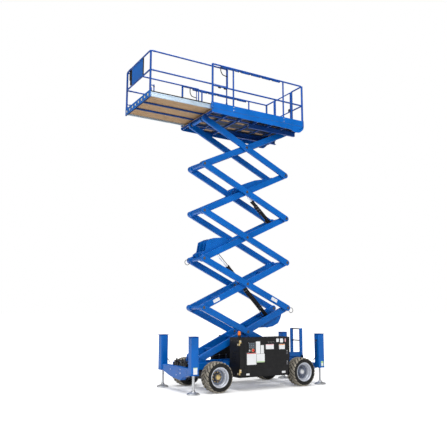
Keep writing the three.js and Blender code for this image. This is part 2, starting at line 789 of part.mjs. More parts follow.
function platformFrame() {
  const memberBottom = topPinZ + 49;
  const top = deckBottom - seatGap;
  const slides = bothSides((side) => join(
    slideChannel(side, topPinZ, platformRear, -10),
    box(platformFront + toePlateRoom, platformRear - 20,
      side * (channelInnerY + 2), side * (channelInnerY + 42), topPinZ + channelOpening / 2 + 2, top),
  ));
  const brackets = bothSides((side) => cut(
    box(basePinX - 50, basePinX + 70, side * topBracketInnerY, side * topBracketOuterY,
      topPinZ - 55, topPinZ + 60),
    crossRod(basePinX, topPinZ, side * (topBracketInnerY - 5), side * (topBracketOuterY + 5),
      pinBoreRadius),
  ));
  const bracketTops = bothSides((side) => box(platformFront + toePlateRoom, basePinX + 70,
    side * topBracketInnerY, side * topBracketOuterY, topPinZ + 40, top));
  const fullX = [-850, -420];
  const thinX = [platformFront + toePlateRoom, 20, 440, 850, platformRear - 45];
  const inside = platformHalfWidth - bandThickness - seatGap;
  const members = fullX.map((x) => box(x, x + memberWidth, -inside, inside, memberBottom, top));
  // where the arm ends pass below, a cross member is a thin strip with a deeper middle
  const strips = thinX.map((x) => join(
    box(x, x + memberWidth, -inside, inside, topPinZ + armDepth / 2 + 5, top),
    box(x, x + memberWidth, -innerArmFaceY + 60, innerArmFaceY - 60, memberBottom, top),
  ));
  const outerParts = [...fullX, ...thinX].map((x) => bothSides((side) => box(x, x + memberWidth,
    side * (channelOuterY - 2), side * inside, bandBottom + 22, top)));
  return join(slides, brackets, bracketTops, ...members, ...strips, ...outerParts);
}

function platformDeck() {
  return box(platformFront + toePlateRoom, platformRear, -platformHalfWidth, platformHalfWidth,
    deckBottom, deckTop);
}

const railY = platformHalfWidth - 22;

// straight rails through the given points; each runs on to the outside of its corner
function railLine(points, radius = railRadius) {
  const pieces = [];
  for (let i = 1; i < points.length; i += 1) {
    const from = new THREE.Vector3(...points[i - 1]);
    const to = new THREE.Vector3(...points[i]);
    const overrun = to.clone().sub(from).setLength(radius * 0.9);
    const start = i > 1 ? from.clone().sub(overrun) : from;
    const end = i < points.length - 1 ? to.clone().add(overrun) : to;
    pieces.push(rodBetween(start.toArray(), end.toArray(), radius, railSides));
  }
  return join(...pieces);
}

const gateX = platformRear - 22;
const gateBottom = deckTop + 170;
const gateTop = deckTop + railHeight - 10;

function mainRails() {
  const bottom = deckTop + seatGap;
  const top = deckTop + railHeight - railRadius;
  const middle = deckTop + midRailHeight;
  const front = platformFront + 22;
  const rear = platformRear - 22;
  const post = (x, y, radius = railRadius) => rodBetween([x, y, bottom], [x, y, top], radius, railSides);
  const sidePosts = [-737, 728].map((x) => bothSides((side) => post(x, side * railY)));
  const cornerPosts = bothSides((side) => join(post(front, side * railY, 24), post(rear, side * railY, 26)));
  const gatePosts = [gateLow - 45, gateHigh + 45].map((y) => post(rear, y, 26));
  const loop = (z) => bothSides((side) => railLine([
    [front, side * railY, z], [rear, side * railY, z], [rear, side > 0 ? gateHigh + 45 : gateLow - 45, z],
  ]));
  const boards = bothSides((side) => box(platformFront, platformRear,
    side * (platformHalfWidth - toeBoardThickness), side * platformHalfWidth,
    bottom, deckTop + toeBoardHeight));
  const boardInner = platformRear - toeBoardThickness;
  const boardSpans = [[-platformHalfWidth, gateLow - 20], [gateHigh + 20, platformHalfWidth]];
  const rearBoards = boardSpans.map(([y0, y1]) => box(boardInner, platformRear, y0, y1,
    bottom, deckTop + toeBoardHeight));
  const sill = box(boardInner, platformRear, gateLow - 25, gateHigh + 25, bottom, deckTop + 30);
  const lugSpans = [[gateBottom - 12, gateBottom - seatGap], [gateTop + seatGap, deckTop + railHeight]];
  const lugs = lugSpans.map(([z0, z1]) => box(rear - 14, rear + 14, gateHigh - 14, gateHigh + 80, z0, z1));
  return join(
    sill, ...lugs, loop(top), loop(middle), ...sidePosts, cornerPosts, ...gatePosts, boards, ...rearBoards,
  );
}

// the gate hangs on the far gate post and closes on the near one
function entryGate() {
  const hingeSide = gateHigh;
  const latchSide = gateLow + 12;
  const barHeights = [gateBottom + 16, deckTop + midRailHeight, gateTop - 16];
  const bars = barHeights.map((z) => crossRod(gateX, z, latchSide, hingeSide, 16, railSides));
  const stiles = [hingeSide, latchSide].map((y) => rodBetween(
    [gateX, y, gateBottom], [gateX, y, gateTop], 16, railSides,
  ));
  return join(...bars, ...stiles);
}

// ---------------------------------------------------------------- platform extension
const extensionFront = platformFront - extensionTravel - 1;
const extensionRear = extensionFront + extensionLength;
const extensionPostX = extensionFront + 15;
const extensionPostRadius = 24;
const extensionBottom = deckTop + extensionGap;
const extensionFloorBottom = extensionBottom + extensionMemberDepth;
const extensionDeckTop = extensionFloorBottom + extensionFloorThickness + seatGap;
const extensionTrayBottom = bandBottom + 45;
const extensionChannelTop = extensionDeckTop + 75;

function extensionFrame() {
  const top = extensionFloorBottom;
  const sides = bothSides((side) => box(extensionFront + 30, extensionRear, side * (extensionHalfWidth - 30),
    side * extensionHalfWidth, extensionBottom, extensionChannelTop));
  const longMembers = [-230, 230].map((y) => box(extensionFront + 30, extensionRear, y - 22, y + 22,
    extensionBottom, top));
  const shoes = bothSides((side) => box(extensionRear - 120, extensionRear, side * (extensionHalfWidth - 30),
    side * extensionHalfWidth, deckTop + seatGap, extensionBottom + 2));
  const crossPlaces = [extensionFront + 30, extensionRear - 30];
  const crossMembers = crossPlaces.map((x) => box(x, x + 30, -extensionHalfWidth + 5, extensionHalfWidth - 5,
    extensionBottom, top));
  return join(sides, shoes, ...longMembers, ...crossMembers);
}

function extensionDeck() {
  const half = extensionHalfWidth - 30 - seatGap;
  const low = extensionFloorBottom + seatGap;
  return box(extensionFront + 31, extensionRear, -half, half, low, extensionDeckTop);
}

function extensionRails() {
  const y = extensionHalfWidth - 19;
  const front = extensionPostX;
  const rear = extensionRear - 20;
  const bottom = extensionChannelTop + seatGap;
  const top = extensionDeckTop + extensionRailHeight - railRadius;
  const middle = extensionDeckTop + midRailHeight;
  const toePlate = box(extensionFront, extensionFront + toePlateThickness,
    -extensionHalfWidth, extensionHalfWidth, topPinZ + armDepth / 2 + 8, extensionChannelTop + 10);
  const posts = bothSides((side) => join(
    rodBetween([front, side * y, extensionChannelTop], [front, side * y, top], extensionPostRadius, railSides),
    rodBetween([front + 95, side * y, bottom], [front + 95, side * y, bottom + 150], 14, railSides),
    rodBetween([rear, side * y, bottom], [rear, side * y, top], 16, railSides),
    rodBetween([front, side * y, bottom + 130], [front + 95, side * y, bottom + 130], 12, railSides),
  ));
  const loop = (z) => railLine(
    [[rear, -y, z], [front, -y, z], [front, y, z], [rear, y, z]], extensionRailRadius,
  );
  return join(toePlate, posts, loop(top), loop(middle));
}

// half the height of a rail between its flat top and bottom
const extensionRailHalf = extensionRailRadius * Math.cos(Math.PI / railSides);
const extensionTopRailZ = extensionDeckTop + extensionRailHeight - railRadius;

function railPanel() {
  const front = extensionPostX;
  const top = extensionTopRailZ - extensionRailHalf - seatGap;
  const bottom = extensionDeckTop + midRailHeight + extensionRailHalf + seatGap;
  return box(front - 4, front + 4, -330, 370, bottom, top);
}

// the box hangs on the front top rail by a plate with a hooked top
function controlBox() {
  const x = extensionPostX;
  const top = extensionTopRailZ + extensionRailHalf + seatGap;
  const plateX = x + extensionRailRadius + seatGap;
  return join(
    box(plateX, plateX + 10, 450, 600, top - 150, top + 6),
    box(x - 12, plateX + 10, 450, 600, top, top + 6),
    box(plateX + 5, x + 190, 430, 620, top - 240, top - 50),
    box(plateX + 5, x + 62, 470, 580, top - 375, top - 230),
  );
}

// ---------------------------------------------------------------- assembly
addScissor();
addCylinders();
addPart('chassis_frame', chassisFrame(), blue);
addPart('left_slide_channel', chassisChannel(-1), blue);
addPart('right_slide_channel', chassisChannel(1), blue);
addPart('front_axle', frontAxle(), castIron);
addPart('rear_axle', rearAxle(), castIron);
addPart('left_steering_knuckle', steeringKnuckle(-1), castIron);
addPart('right_steering_knuckle', steeringKnuckle(1), castIron);
addPart('tie_rod', tieRod(), castIron);
addWheel('front_left', -wheelbase / 2, -1);
addWheel('front_right', -wheelbase / 2, 1);
addWheel('rear_left', wheelbase / 2, -1);
addWheel('rear_right', wheelbase / 2, 1);
addOutriggers();
addPart('engine_cover', sideCover(-1), black);
addPart('engine_door', coverDoor(-1), black);
addPart('engine_block', plainMass(-420, 180, -1, 480), castIron);
addPart('hydraulic_cover', sideCover(1), black);
addPart('hydraulic_door', coverDoor(1), black);
addPart('hydraulic_tank', plainMass(-120, 480, 1, 520), castIron);
addPart('ground_control_box', groundControls(), black);
addPart('beacon', beacon(), amber);
addPart('ladder', ladder(), blue);
addPart('platform_frame', platformFrame(), darkBlue);
addPart('left_platform_band', platformBand(-1), blue);
addPart('right_platform_band', platformBand(1), blue);
addPart('platform_deck', platformDeck(), plywood);
addPart('platform_rails', mainRails(), blue);
addPart('entry_gate', entryGate(), blue);
addPart('extension_frame', extensionFrame(), silver);
addPart('extension_deck', extensionDeck(), plywood);
addPart('extension_rails', extensionRails(), blue);
addPart('rail_panel', railPanel(), blue);
addPart('platform_control_box', controlBox(), black);

// the ends of the machine are the extension's front posts and the rear outrigger pads
const machineFront = extensionPostX - extensionPostRadius;
const machineRear = rearOutriggerX + padRadius;
model.position.x = -(machineFront + machineRear) / 2;

export default model;
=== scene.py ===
"""Looks of the rough-terrain scissor lift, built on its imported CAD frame."""
import math

import bmesh
import bpy
from mathutils import Matrix, Vector

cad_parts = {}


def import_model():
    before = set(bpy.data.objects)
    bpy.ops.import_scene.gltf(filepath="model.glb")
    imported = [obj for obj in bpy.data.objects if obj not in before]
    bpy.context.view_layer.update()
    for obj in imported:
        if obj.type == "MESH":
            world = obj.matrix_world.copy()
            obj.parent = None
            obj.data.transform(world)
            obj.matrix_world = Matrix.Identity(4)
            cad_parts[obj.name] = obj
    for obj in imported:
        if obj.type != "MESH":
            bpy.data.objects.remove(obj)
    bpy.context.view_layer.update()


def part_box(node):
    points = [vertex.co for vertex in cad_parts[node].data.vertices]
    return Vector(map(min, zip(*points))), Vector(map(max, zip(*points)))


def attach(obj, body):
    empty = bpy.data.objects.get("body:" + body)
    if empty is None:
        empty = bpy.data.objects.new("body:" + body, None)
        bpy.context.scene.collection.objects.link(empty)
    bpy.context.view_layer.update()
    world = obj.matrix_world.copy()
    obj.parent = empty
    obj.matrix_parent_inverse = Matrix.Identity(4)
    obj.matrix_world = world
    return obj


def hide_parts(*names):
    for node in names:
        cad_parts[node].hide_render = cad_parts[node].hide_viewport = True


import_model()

# ---------------------------------------------------------------- layout, in millimetres
# Shapes are laid out from a station midway between the axles and shifted to the frame's origin.
HALF_WHEELBASE = 1145
wheel_low, wheel_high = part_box("rear_left_rim")
SHIFT_X = (wheel_low.x + wheel_high.x) / 2 - HALF_WHEELBASE / 1000

LEVELS = 5
SPAN = 2597
HALF_SPAN = SPAN / 2
REST = math.radians(25.27)
BASE_X, BASE_Z = -1272, 700
RISE = SPAN * math.sin(REST)
STACK = SPAN * math.cos(REST)
TOP_PIN_Z = BASE_Z + LEVELS * RISE
ARM_DEPTH = 145
INNER_Y, INNER_W = 225, 70
OUTER_Y, OUTER_W = 302, 66
CHANNEL_IN, CHANNEL_OUT = OUTER_Y + OUTER_W + 6, OUTER_Y + OUTER_W + 68
TYRE_R, TYRE_W, RIM_R = 327, 305, 205
WHEEL_Y = 723.5

DECK_TOP = TOP_PIN_Z + 100
DECK_BOTTOM = DECK_TOP - 15
PLAT_FRONT, PLAT_REAR, PLAT_Y = -1326, 1346, 797
EXT_FRONT, EXT_LENGTH, EXT_Y = -2847, 1990, 717
EXT_REAR = EXT_FRONT + EXT_LENGTH
EXT_BOTTOM = DECK_TOP + 7
EXT_FLOOR = EXT_BOTTOM + 50.3
EXT_CHANNEL_TOP = EXT_FLOOR + 75

COVER_FRONT, COVER_REAR, COVER_IN, COVER_OUT = -635, 735, 480, 850
SHOULDER_IN, SHOULDER_REAR = 422, -120
HYDRAULIC_FRONT = -180
COVER_LOW, COVER_TOP = 285, 1145
SHELL_OUT = COVER_OUT - 28
HINGE_Y = COVER_OUT + 6
HINGE_HEIGHTS = (COVER_LOW + 125, COVER_TOP - 106)
SKIRT_Z = 472


# ---------------------------------------------------------------- materials
def node_tree(name, color, rough, metal=0.0, coat=0.0):
    material = bpy.data.materials.new(name)
    material.use_nodes = True
    nodes = material.node_tree.nodes
    shader = nodes["Principled BSDF"]
    shader.inputs["Base Color"].default_value = (*color, 1)
    shader.inputs["Roughness"].default_value = rough
    shader.inputs["Metallic"].default_value = metal
    shader.inputs["Coat Weight"].default_value = coat
    shader.inputs["Coat Roughness"].default_value = 0.12
    shader.inputs["Specular IOR Level"].default_value = 0.2
    material.diffuse_color = (*color, 1)
    return material, nodes, material.node_tree.links, shader


def noise(nodes, links, scale, detail=3.0, stretch=(1, 1, 1), rough=0.5):
    place = nodes.new("ShaderNodeTexCoord")
    mapping = nodes.new("ShaderNodeMapping")
    mapping.inputs["Scale"].default_value = stretch
    texture = nodes.new("ShaderNodeTexNoise")
    texture.inputs["Scale"].default_value = scale
    texture.inputs["Detail"].default_value = detail
    texture.inputs["Roughness"].default_value = rough
    links.new(place.outputs["Object"], mapping.inputs["Vector"])
    links.new(mapping.outputs["Vector"], texture.inputs["Vector"])
    return texture


def spread(nodes, links, source, low, high, out_low, out_high):
    ramp = nodes.new("ShaderNodeMapRange")
    ramp.inputs["From Min"].default_value = low
    ramp.inputs["From Max"].default_value = high
    ramp.inputs["To Min"].default_value = out_low
    ramp.inputs["To Max"].default_value = out_high
    links.new(source, ramp.inputs["Value"])
    return ramp.outputs["Result"]


def mixed(nodes, links, factor, first, second):
    mix = nodes.new("ShaderNodeMix")
    mix.data_type = "RGBA"
    for socket, value in ((mix.inputs["A"], first), (mix.inputs["B"], second)):
        if isinstance(value, tuple):
            socket.default_value = (*value, 1)
        else:
            links.new(value, socket)
    links.new(factor, mix.inputs["Factor"])
    return mix.outputs["Result"]


def bump(nodes, links, shader, source, strength, distance):
    node = nodes.new("ShaderNodeBump")
    node.inputs["Strength"].default_value = strength
    node.inputs["Distance"].default_value = distance
    links.new(source, node.inputs["Height"])
    links.new(node.outputs["Normal"], shader.inputs["Normal"])


def surface(name, color, rough, metal=0.0, coat=0.0, tint=0.12, tint_scale=2.5, grain=220.0,
            grain_depth=0.0003,
            dirt=None, dirt_amount=0.0, stretch=(1, 1, 1), rough_swing=0.08):
    """A finish with cloudy tint, fine grain, uneven gloss and, where asked, settled dust."""
    material, nodes, links, shader = node_tree(name, color, rough, metal, coat)
    cloud = noise(nodes, links, tint_scale, 4.0)
    darker = tuple(c * (1 - tint) for c in color)
    lighter = tuple(min(1.0, c * (1 + tint)) for c in color)
    shade = mixed(nodes, links, spread(nodes, links, cloud.outputs["Fac"], 0.32, 0.68, 0, 1), darker, lighter)
    if dirt:
        patch = noise(nodes, links, 9.0, 6.0, rough=0.65)
        amount = spread(nodes, links, patch.outputs["Fac"], 0.45, 0.75, 0.0, dirt_amount)
        shade = mixed(nodes, links, amount, shade, dirt)
    links.new(shade, shader.inputs["Base Color"])
    fine = noise(nodes, links, grain, 2.0, stretch)
    links.new(spread(nodes, links, cloud.outputs["Fac"], 0.3, 0.7, rough - rough_swing, rough + rough_swing),
              shader.inputs["Roughness"])
    bump(nodes, links, shader, fine.outputs["Fac"], 0.5, grain_depth)
    return material


def plywood_finish(name, light, dark):
    material, nodes, links, shader = node_tree(name, light, 0.7)
    grain = noise(nodes, links, 6.0, 6.0, (1.0, 14.0, 14.0), 0.6)
    knots = noise(nodes, links, 2.2, 3.0, (1.0, 2.2, 1.0))
    shade = mixed(nodes, links, spread(nodes, links, grain.outputs["Fac"], 0.3, 0.7, 0, 1), light, dark)
    stain = tuple(c * 0.62 for c in dark)
    shade = mixed(nodes, links, spread(nodes, links, knots.outputs["Fac"], 0.55, 0.75, 0, 0.55), shade, stain)
    links.new(shade, shader.inputs["Base Color"])
    bump(nodes, links, shader, grain.outputs["Fac"], 0.4, 0.0008)
    return material


def deck_finish(name):
    """Dark floor with raised round studs, for boots."""
    material, nodes, links, shader = node_tree(name, (0.10, 0.10, 0.105), 0.75)
    place = nodes.new("ShaderNodeTexCoord")
    cells = nodes.new("ShaderNodeTexVoronoi")
    cells.inputs["Scale"].default_value = 55
    cells.inputs["Randomness"].default_value = 0.0
    links.new(place.outputs["Object"], cells.inputs["Vector"])
    studs = spread(nodes, links, cells.outputs["Distance"], 0.22, 0.34, 1, 0)
    scuffs = noise(nodes, links, 4.0, 6.0, rough=0.7)
    amount = spread(nodes, links, scuffs.outputs["Fac"], 0.5, 0.75, 0, 0.5)
    links.new(mixed(nodes, links, amount, (0.085, 0.087, 0.09), (0.26, 0.24, 0.21)),
              shader.inputs["Base Color"])
    bump(nodes, links, shader, studs, 0.8, 0.001)
    return material


BLUE = surface("blue_paint", (0.001, 0.115, 0.46), 0.34, coat=0.04, tint=0.10, grain=300, grain_depth=0.00008)
RAIL_BLUE = surface("blue_rail_paint", (0.003, 0.06, 0.30), 0.36, coat=0.04, tint=0.10, grain=300,
                    grain_depth=0.00008)
# A darker copy of the blue paint for faces inside and underneath: the darker base is painted shade, the dust
# mixed in is real dirt.
SHADE_AND_DUST_BLUE = surface("blue_paint_painted_shade_and_dust", (0.003, 0.055, 0.27), 0.5, tint=0.15, grain=300, grain_depth=0.0001,
                    dirt=(0.05, 0.06, 0.08), dirt_amount=0.4)
BLACK = surface("black_powder_coat", (0.008, 0.008, 0.009), 0.5, tint=0.2, grain=420, grain_depth=0.0003,
                dirt=(0.035, 0.032, 0.03), dirt_amount=0.3)
PLASTIC = surface("black_plastic", (0.014, 0.014, 0.015), 0.4, tint=0.15, grain=500, grain_depth=0.0002)
RUBBER = surface("tyre_side_rubber", (0.012, 0.012, 0.012), 0.62, tint=0.25, tint_scale=8, grain=160,
                 grain_depth=0.0003, dirt=(0.055, 0.05, 0.042), dirt_amount=0.35)
TREAD = surface("tyre_tread_dust", (0.33, 0.30, 0.245), 0.9, tint=0.25, tint_scale=14, grain=120,
                grain_depth=0.0006, dirt=(0.09, 0.08, 0.065), dirt_amount=0.7)
GROOVE = surface("tyre_groove", (0.06, 0.054, 0.045), 0.9, tint=0.3, tint_scale=14, grain=120,
                 grain_depth=0.0005)
WHEEL = surface("wheel_paint", (0.62, 0.65, 0.72), 0.36, metal=0.25, tint=0.08, grain=260, grain_depth=0.0001,
                dirt=(0.33, 0.32, 0.30), dirt_amount=0.35)
WHEEL_DARK = surface("wheel_centre", (0.20, 0.23, 0.30), 0.45, metal=0.4, tint=0.2, grain=260,
                     dirt=(0.10, 0.10, 0.10), dirt_amount=0.6)
CHROME = surface("chrome_rod", (0.78, 0.79, 0.80), 0.10, metal=1.0, tint=0.03, grain=900, grain_depth=0.00003,
                 rough_swing=0.04)
LEG_STEEL = surface("leg_steel", (0.60, 0.61, 0.63), 0.34, metal=0.5, tint=0.12, tint_scale=9, grain=400,
                    grain_depth=0.0001, dirt=(0.10, 0.09, 0.08), dirt_amount=0.4)
ZINC = surface("zinc_plate", (0.66, 0.67, 0.68), 0.32, metal=0.85, tint=0.12, tint_scale=18, grain=350,
               grain_depth=0.0002, dirt=(0.35, 0.34, 0.32), dirt_amount=0.3)
BRASS = surface("yellow_zinc", (0.62, 0.46, 0.20), 0.35, metal=0.8, tint=0.2, tint_scale=25, grain=350)
IRON = surface("cast_iron", (0.055, 0.055, 0.057), 0.6, metal=0.3, tint=0.3, tint_scale=7, grain=140,
               grain_depth=0.0008, dirt=(0.12, 0.10, 0.075), dirt_amount=0.5)
STEEL = surface("dark_steel", (0.10, 0.10, 0.11), 0.4, metal=0.8, tint=0.2, tint_scale=15, grain=300)
ALLOY = surface("rolled_alloy", (0.70, 0.72, 0.75), 0.34, metal=0.75, tint=0.08, grain=60,
                stretch=(1, 30, 30),
                grain_depth=0.0002)
CHANNEL_ALLOY = surface("anodised_channel", (0.42, 0.52, 0.62), 0.4, metal=0.4, tint=0.1, grain=60,
                        stretch=(1, 30, 30), grain_depth=0.0002)
# Near-black colour for the pan under the floor: painted shade, with some real dust mixed in.
UNDERSIDE_SHADE_AND_DUST = surface("underside_painted_shade_and_dust", (0.003, 0.008, 0.018), 0.6, tint=0.3, tint_scale=6, grain=200,
                    dirt=(0.02, 0.022, 0.026), dirt_amount=0.4)
HOSE = surface("hose_rubber", (0.013, 0.013, 0.014), 0.48, tint=0.2, grain=300, grain_depth=0.0003)
LABEL = surface("blank_plate", (0.80, 0.81, 0.82), 0.35, tint=0.03, grain=300, grain_depth=0.00005)
CREAM = surface("pale_tape", (0.72, 0.68, 0.42), 0.5, tint=0.12, tint_scale=20, grain=200)
RED = surface("red_plastic", (0.62, 0.03, 0.02), 0.32, tint=0.08, grain=300)
PINK = surface("pink_strip", (0.80, 0.42, 0.46), 0.4, tint=0.05, grain=300)
SCREEN = surface("grey_blue_key", (0.10, 0.15, 0.19), 0.35, tint=0.15, tint_scale=40, grain=300)
ORANGE = surface("orange_plastic", (0.85, 0.26, 0.02), 0.4, tint=0.06, grain=300)
GREEN = surface("pale_green_tape", (0.45, 0.66, 0.30), 0.45, tint=0.1, grain=300)
AMBER = surface("amber_lens", (0.86, 0.20, 0.006), 0.16, coat=0.5, tint=0.12, tint_scale=30, grain=120,
                grain_depth=0.0004)
PLY = plywood_finish("plywood_underside", (0.50, 0.335, 0.19), (0.33, 0.20, 0.105))
DECK = deck_finish("studded_deck")


# ---------------------------------------------------------------- mesh building
class Shape:
    """Collects primitives in millimetres and turns them into one object."""

    def __init__(self, name):
        self.name = name
        self.points = []
        self.faces = []
        self.face_slots = []
        self.materials = []
        self.place = Matrix.Identity(4)

    def take(self, part, material, bevel=0.0, segments=2, turn=None):
        bmesh.ops.recalc_face_normals(part, faces=part.faces)
        if bevel:
            edges = [e for e in part.edges if len(e.link_faces) == 2 and e.calc_face_angle(0) > 0.6]
            bmesh.ops.bevel(part, geom=edges, offset=bevel, segments=segments, profile=0.5, affect="EDGES",
                            clamp_overlap=True)
        if material not in self.materials:
            self.materials.append(material)
        slot = self.materials.index(material)
        place = self.place @ turn if turn else self.place
        start = len(self.points)
        part.verts.index_update()
        self.points.extend(place @ v.co for v in part.verts)
        for face in part.faces:
            self.faces.append([start + v.index for v in face.verts])
            self.face_slots.append(slot)
        part.free()

    def box(self, x0, x1, y0, y1, z0, z1, material, bevel=2.0, segments=2, turn=None):
        part = bmesh.new()
        bmesh.ops.create_cube(part, size=1)
        size = Matrix.Diagonal((abs(x1 - x0), abs(y1 - y0), abs(z1 - z0), 1))
        part.transform(Matrix.Translation(((x0 + x1) / 2, (y0 + y1) / 2, (z0 + z1) / 2)) @ size)
        self.take(part, material, bevel, segments, turn)

    def rod(self, start, end, radius, material, sides=20, bevel=1.5, end_radius=None):
        a, b = Vector(start), Vector(end)
        part = bmesh.new()
        bmesh.ops.create_cone(part, cap_ends=True, segments=sides, radius1=radius,
                              radius2=radius if end_radius is None else end_radius, depth=(b - a).length)
        aim = Vector((0, 0, 1)).rotation_difference((b - a).normalized()).to_matrix().to_4x4()
        part.transform(Matrix.Translation((a + b) / 2) @ aim)
        self.take(part, material, min(bevel, (b - a).length / 3), 1 if sides < 14 else 2)

    def cross(self, x, z, y0, y1, radius, material, sides=20, bevel=1.5):
        self.rod((x, y0, z), (x, y1, z), radius, material, sides, bevel)

    def prism(self, outline, low, high, material, axis="y", bevel=2.0, segments=2):
        """A flat outline drawn out along an axis: (x, z) along y, (y, z) along x, (x, y) along z."""
        part = bmesh.new()
        turn = {"y": lambda p, t: (p[0], t, p[1]), "x": lambda p, t: (t, p[0], p[1]), "z": lambda p,
                t: (p[0], p[1], t)}
        verts = [part.verts.new(turn[axis](p, low)) for p in outline]
        face = part.faces.new(verts)
        extruded = bmesh.ops.extrude_face_region(part, geom=[face])
        moved = [g for g in extruded["geom"] if isinstance(g, bmesh.types.BMVert)]
        step = {"y": (0, high - low, 0), "x": (high - low, 0, 0), "z": (0, 0, high - low)}[axis]
        bmesh.ops.translate(part, verts=moved, vec=step)
        self.take(part, material, bevel, segments)

    def lathe(self, profile, centre, axis, material, sides=48):
        """A profile of (radius, distance along the axis) turned around it; an end with radius 0 is closed."""
        part = bmesh.new()
        rings = []
        for radius, along in profile:
            if radius < 0.01:
                rings.append([part.verts.new((0, 0, along))])
            else:
                rings.append([part.verts.new((radius * math.cos(2 * math.pi * i / sides),
                                              radius * math.sin(2 * math.pi * i / sides), along))
                              for i in range(sides)])
        for low, high in zip(rings, rings[1:]):
            for i in range(sides):
                j = (i + 1) % sides
                quad = [low[i % len(low)], low[j % len(low)], high[j % len(high)], high[i % len(high)]]
                corners = list(dict.fromkeys(quad))
                if len(corners) > 2:
                    part.faces.new(corners)
        aim = Vector((0, 0, 1)).rotation_difference(Vector(axis)).to_matrix().to_4x4()
        part.transform(Matrix.Translation(centre) @ aim)
        self.take(part, material)

    def pipe(self, points, radius, material, bend=0.0, sides=12, closed_ends=True):
        """A round tube along straight runs with rounded corners."""
        path = round_corners([Vector(p) for p in points], bend)
        part = bmesh.new()
        rings = []
        normal = None
        for i, point in enumerate(path):
            before = path[max(i - 1, 0)]
            after = path[min(i + 1, len(path) - 1)]
            along = (after - before).normalized()
            if normal is None:
                normal = along.orthogonal().normalized()
            else:
                normal = (normal - along * normal.dot(along)).normalized()
            side = along.cross(normal)
            rings.append([part.verts.new(point + radius * (normal * math.cos(a) + side * math.sin(a)))
                          for a in (2 * math.pi * k / sides for k in range(sides))])
        for low, high in zip(rings, rings[1:]):
            for k in range(sides):
                n = (k + 1) % sides
                part.faces.new((low[k], low[n], high[n], high[k]))
        if closed_ends:
            part.faces.new(rings[0])
            part.faces.new(rings[-1])
        self.take(part, material)

    def bolt(self, centre, axis, radius, material, height=None):
        a = Vector(centre)
        direction = Vector(axis).normalized()
        tall = height or radius * 0.8
        self.rod(a - direction * 1, a + direction * 1.6, radius * 1.5, material, 16, 0.5)
        self.rod(a, a + direction * tall, radius, material, 6, 0.8)

    def finish(self, body, replaces=(), angle=38):
        mesh = bpy.data.meshes.new(self.name)
        scale = [((p.x / 1000) + SHIFT_X, p.y / 1000, p.z / 1000) for p in self.points]
        mesh.from_pydata(scale, [], self.faces)
        for material in self.materials:
            mesh.materials.append(material)
        mesh.polygons.foreach_set("material_index", self.face_slots)
        mesh.polygons.foreach_set("use_smooth", [True] * len(self.faces))
        mesh.set_sharp_from_angle(angle=math.radians(angle))
        mesh.validate()
        obj = bpy.data.objects.new(self.name, mesh)
        bpy.context.scene.collection.objects.link(obj)
        even = obj.modifiers.new("even_normals", "WEIGHTED_NORMAL")
        even.keep_sharp = True
        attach(obj, body)
        if replaces:
            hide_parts(*replaces)
        return obj


def round_corners(points, bend):
    if bend <= 0 or len(points) < 3:
        return points
    path = [points[0]]
    for before, corner, after in zip(points, points[1:], points[2:]):
        into = (corner - before)
        out = (after - corner)
        angle = into.angle(out, 0)
        if angle < 0.05:
            path.append(corner)
            continue
        reach = min(bend * math.tan(angle / 2), into.length * 0.48, out.length * 0.48)
        start = corner - into.normalized() * reach
        end = corner + out.normalized() * reach
        steps = max(3, int(math.degrees(angle) / 15))
        for i in range(steps + 1):
            t = i / steps
            path.append(start * (1 - t) ** 2 + corner * 2 * t * (1 - t) + end * t * t)
    path.append(points[-1])
    return path


def stadium(half_length, half_height, steps=10):
    right = [(half_length + half_height * math.cos(a), half_height * math.sin(a))
             for a in (-math.pi / 2 + math.pi * i / steps for i in range(steps + 1))]
    left = [(-half_length + half_height * math.cos(a), half_height * math.sin(a))
            for a in (math.pi / 2 + math.pi * i / steps for i in range(steps + 1))]
    return right + left


SIDES = (-1, 1)

# ---------------------------------------------------------------- scissor arms
def arm_place(level, kind):
    middle = Matrix.Translation((BASE_X + STACK / 2, 0, BASE_Z + (level - 0.5) * RISE))
    return middle @ Matrix.Rotation(-REST if kind == "inner" else REST, 4, "Y")


def pin_end(shape, s, side, face, radius=30):
    """The visible end of a pin: a collar, a domed head and a bolted keeper plate."""
    shape.cross(s, 0, face - side * 3, face + side * 2.5, radius + 20, BLUE, 28, 1.2)
    shape.cross(s, 0, face, face + side * 5, radius + 2, STEEL, 28, 1.5)
    shape.bolt((s, face + side * 2.5, radius + 9), (0, side, 0), 5, STEEL, 3)


def arm_bar(shape, side, inner, width):
    """One bar with round ends."""
    y0, y1 = sorted((side * inner, side * (inner + width)))
    shape.prism(stadium(HALF_SPAN, ARM_DEPTH / 2), y0, y1, BLUE, bevel=9, segments=3)


def blank_label(shape, s, face):
    for side in SIDES:
        shape.box(s - 90, s + 90, side * (face - 1), side * (face + 2), -38, 38, LABEL, 1)


def hose_ring(shape, end, y):
    """A round wire guide welded to the end of an arm."""
    centre = end + math.copysign(ARM_DEPTH / 2 + RING_RADIUS - 8, end)
    turns = [2 * math.pi * i / 28 for i in range(29)]
    shape.pipe([(centre + RING_RADIUS * math.cos(a), y, RING_RADIUS * math.sin(a)) for a in turns], 7, STEEL)


def cross_tube(shape, s, n=0.0, radius=35, half=INNER_Y + 3, material=None):
    material = material or BLUE
    shape.cross(s, n, -half, half, radius, material, 28, 0)
    for side in SIDES:
        shape.cross(s, n, side * (half - 3), side * (half - 13), radius + 7, material, 28, 3)


def gusset(shape, outline, thickness, faces, material=BLUE):
    for face in faces:
        y0, y1 = sorted((face, face + math.copysign(thickness, face)))
        shape.prism(outline, y0, y1, material, bevel=3)


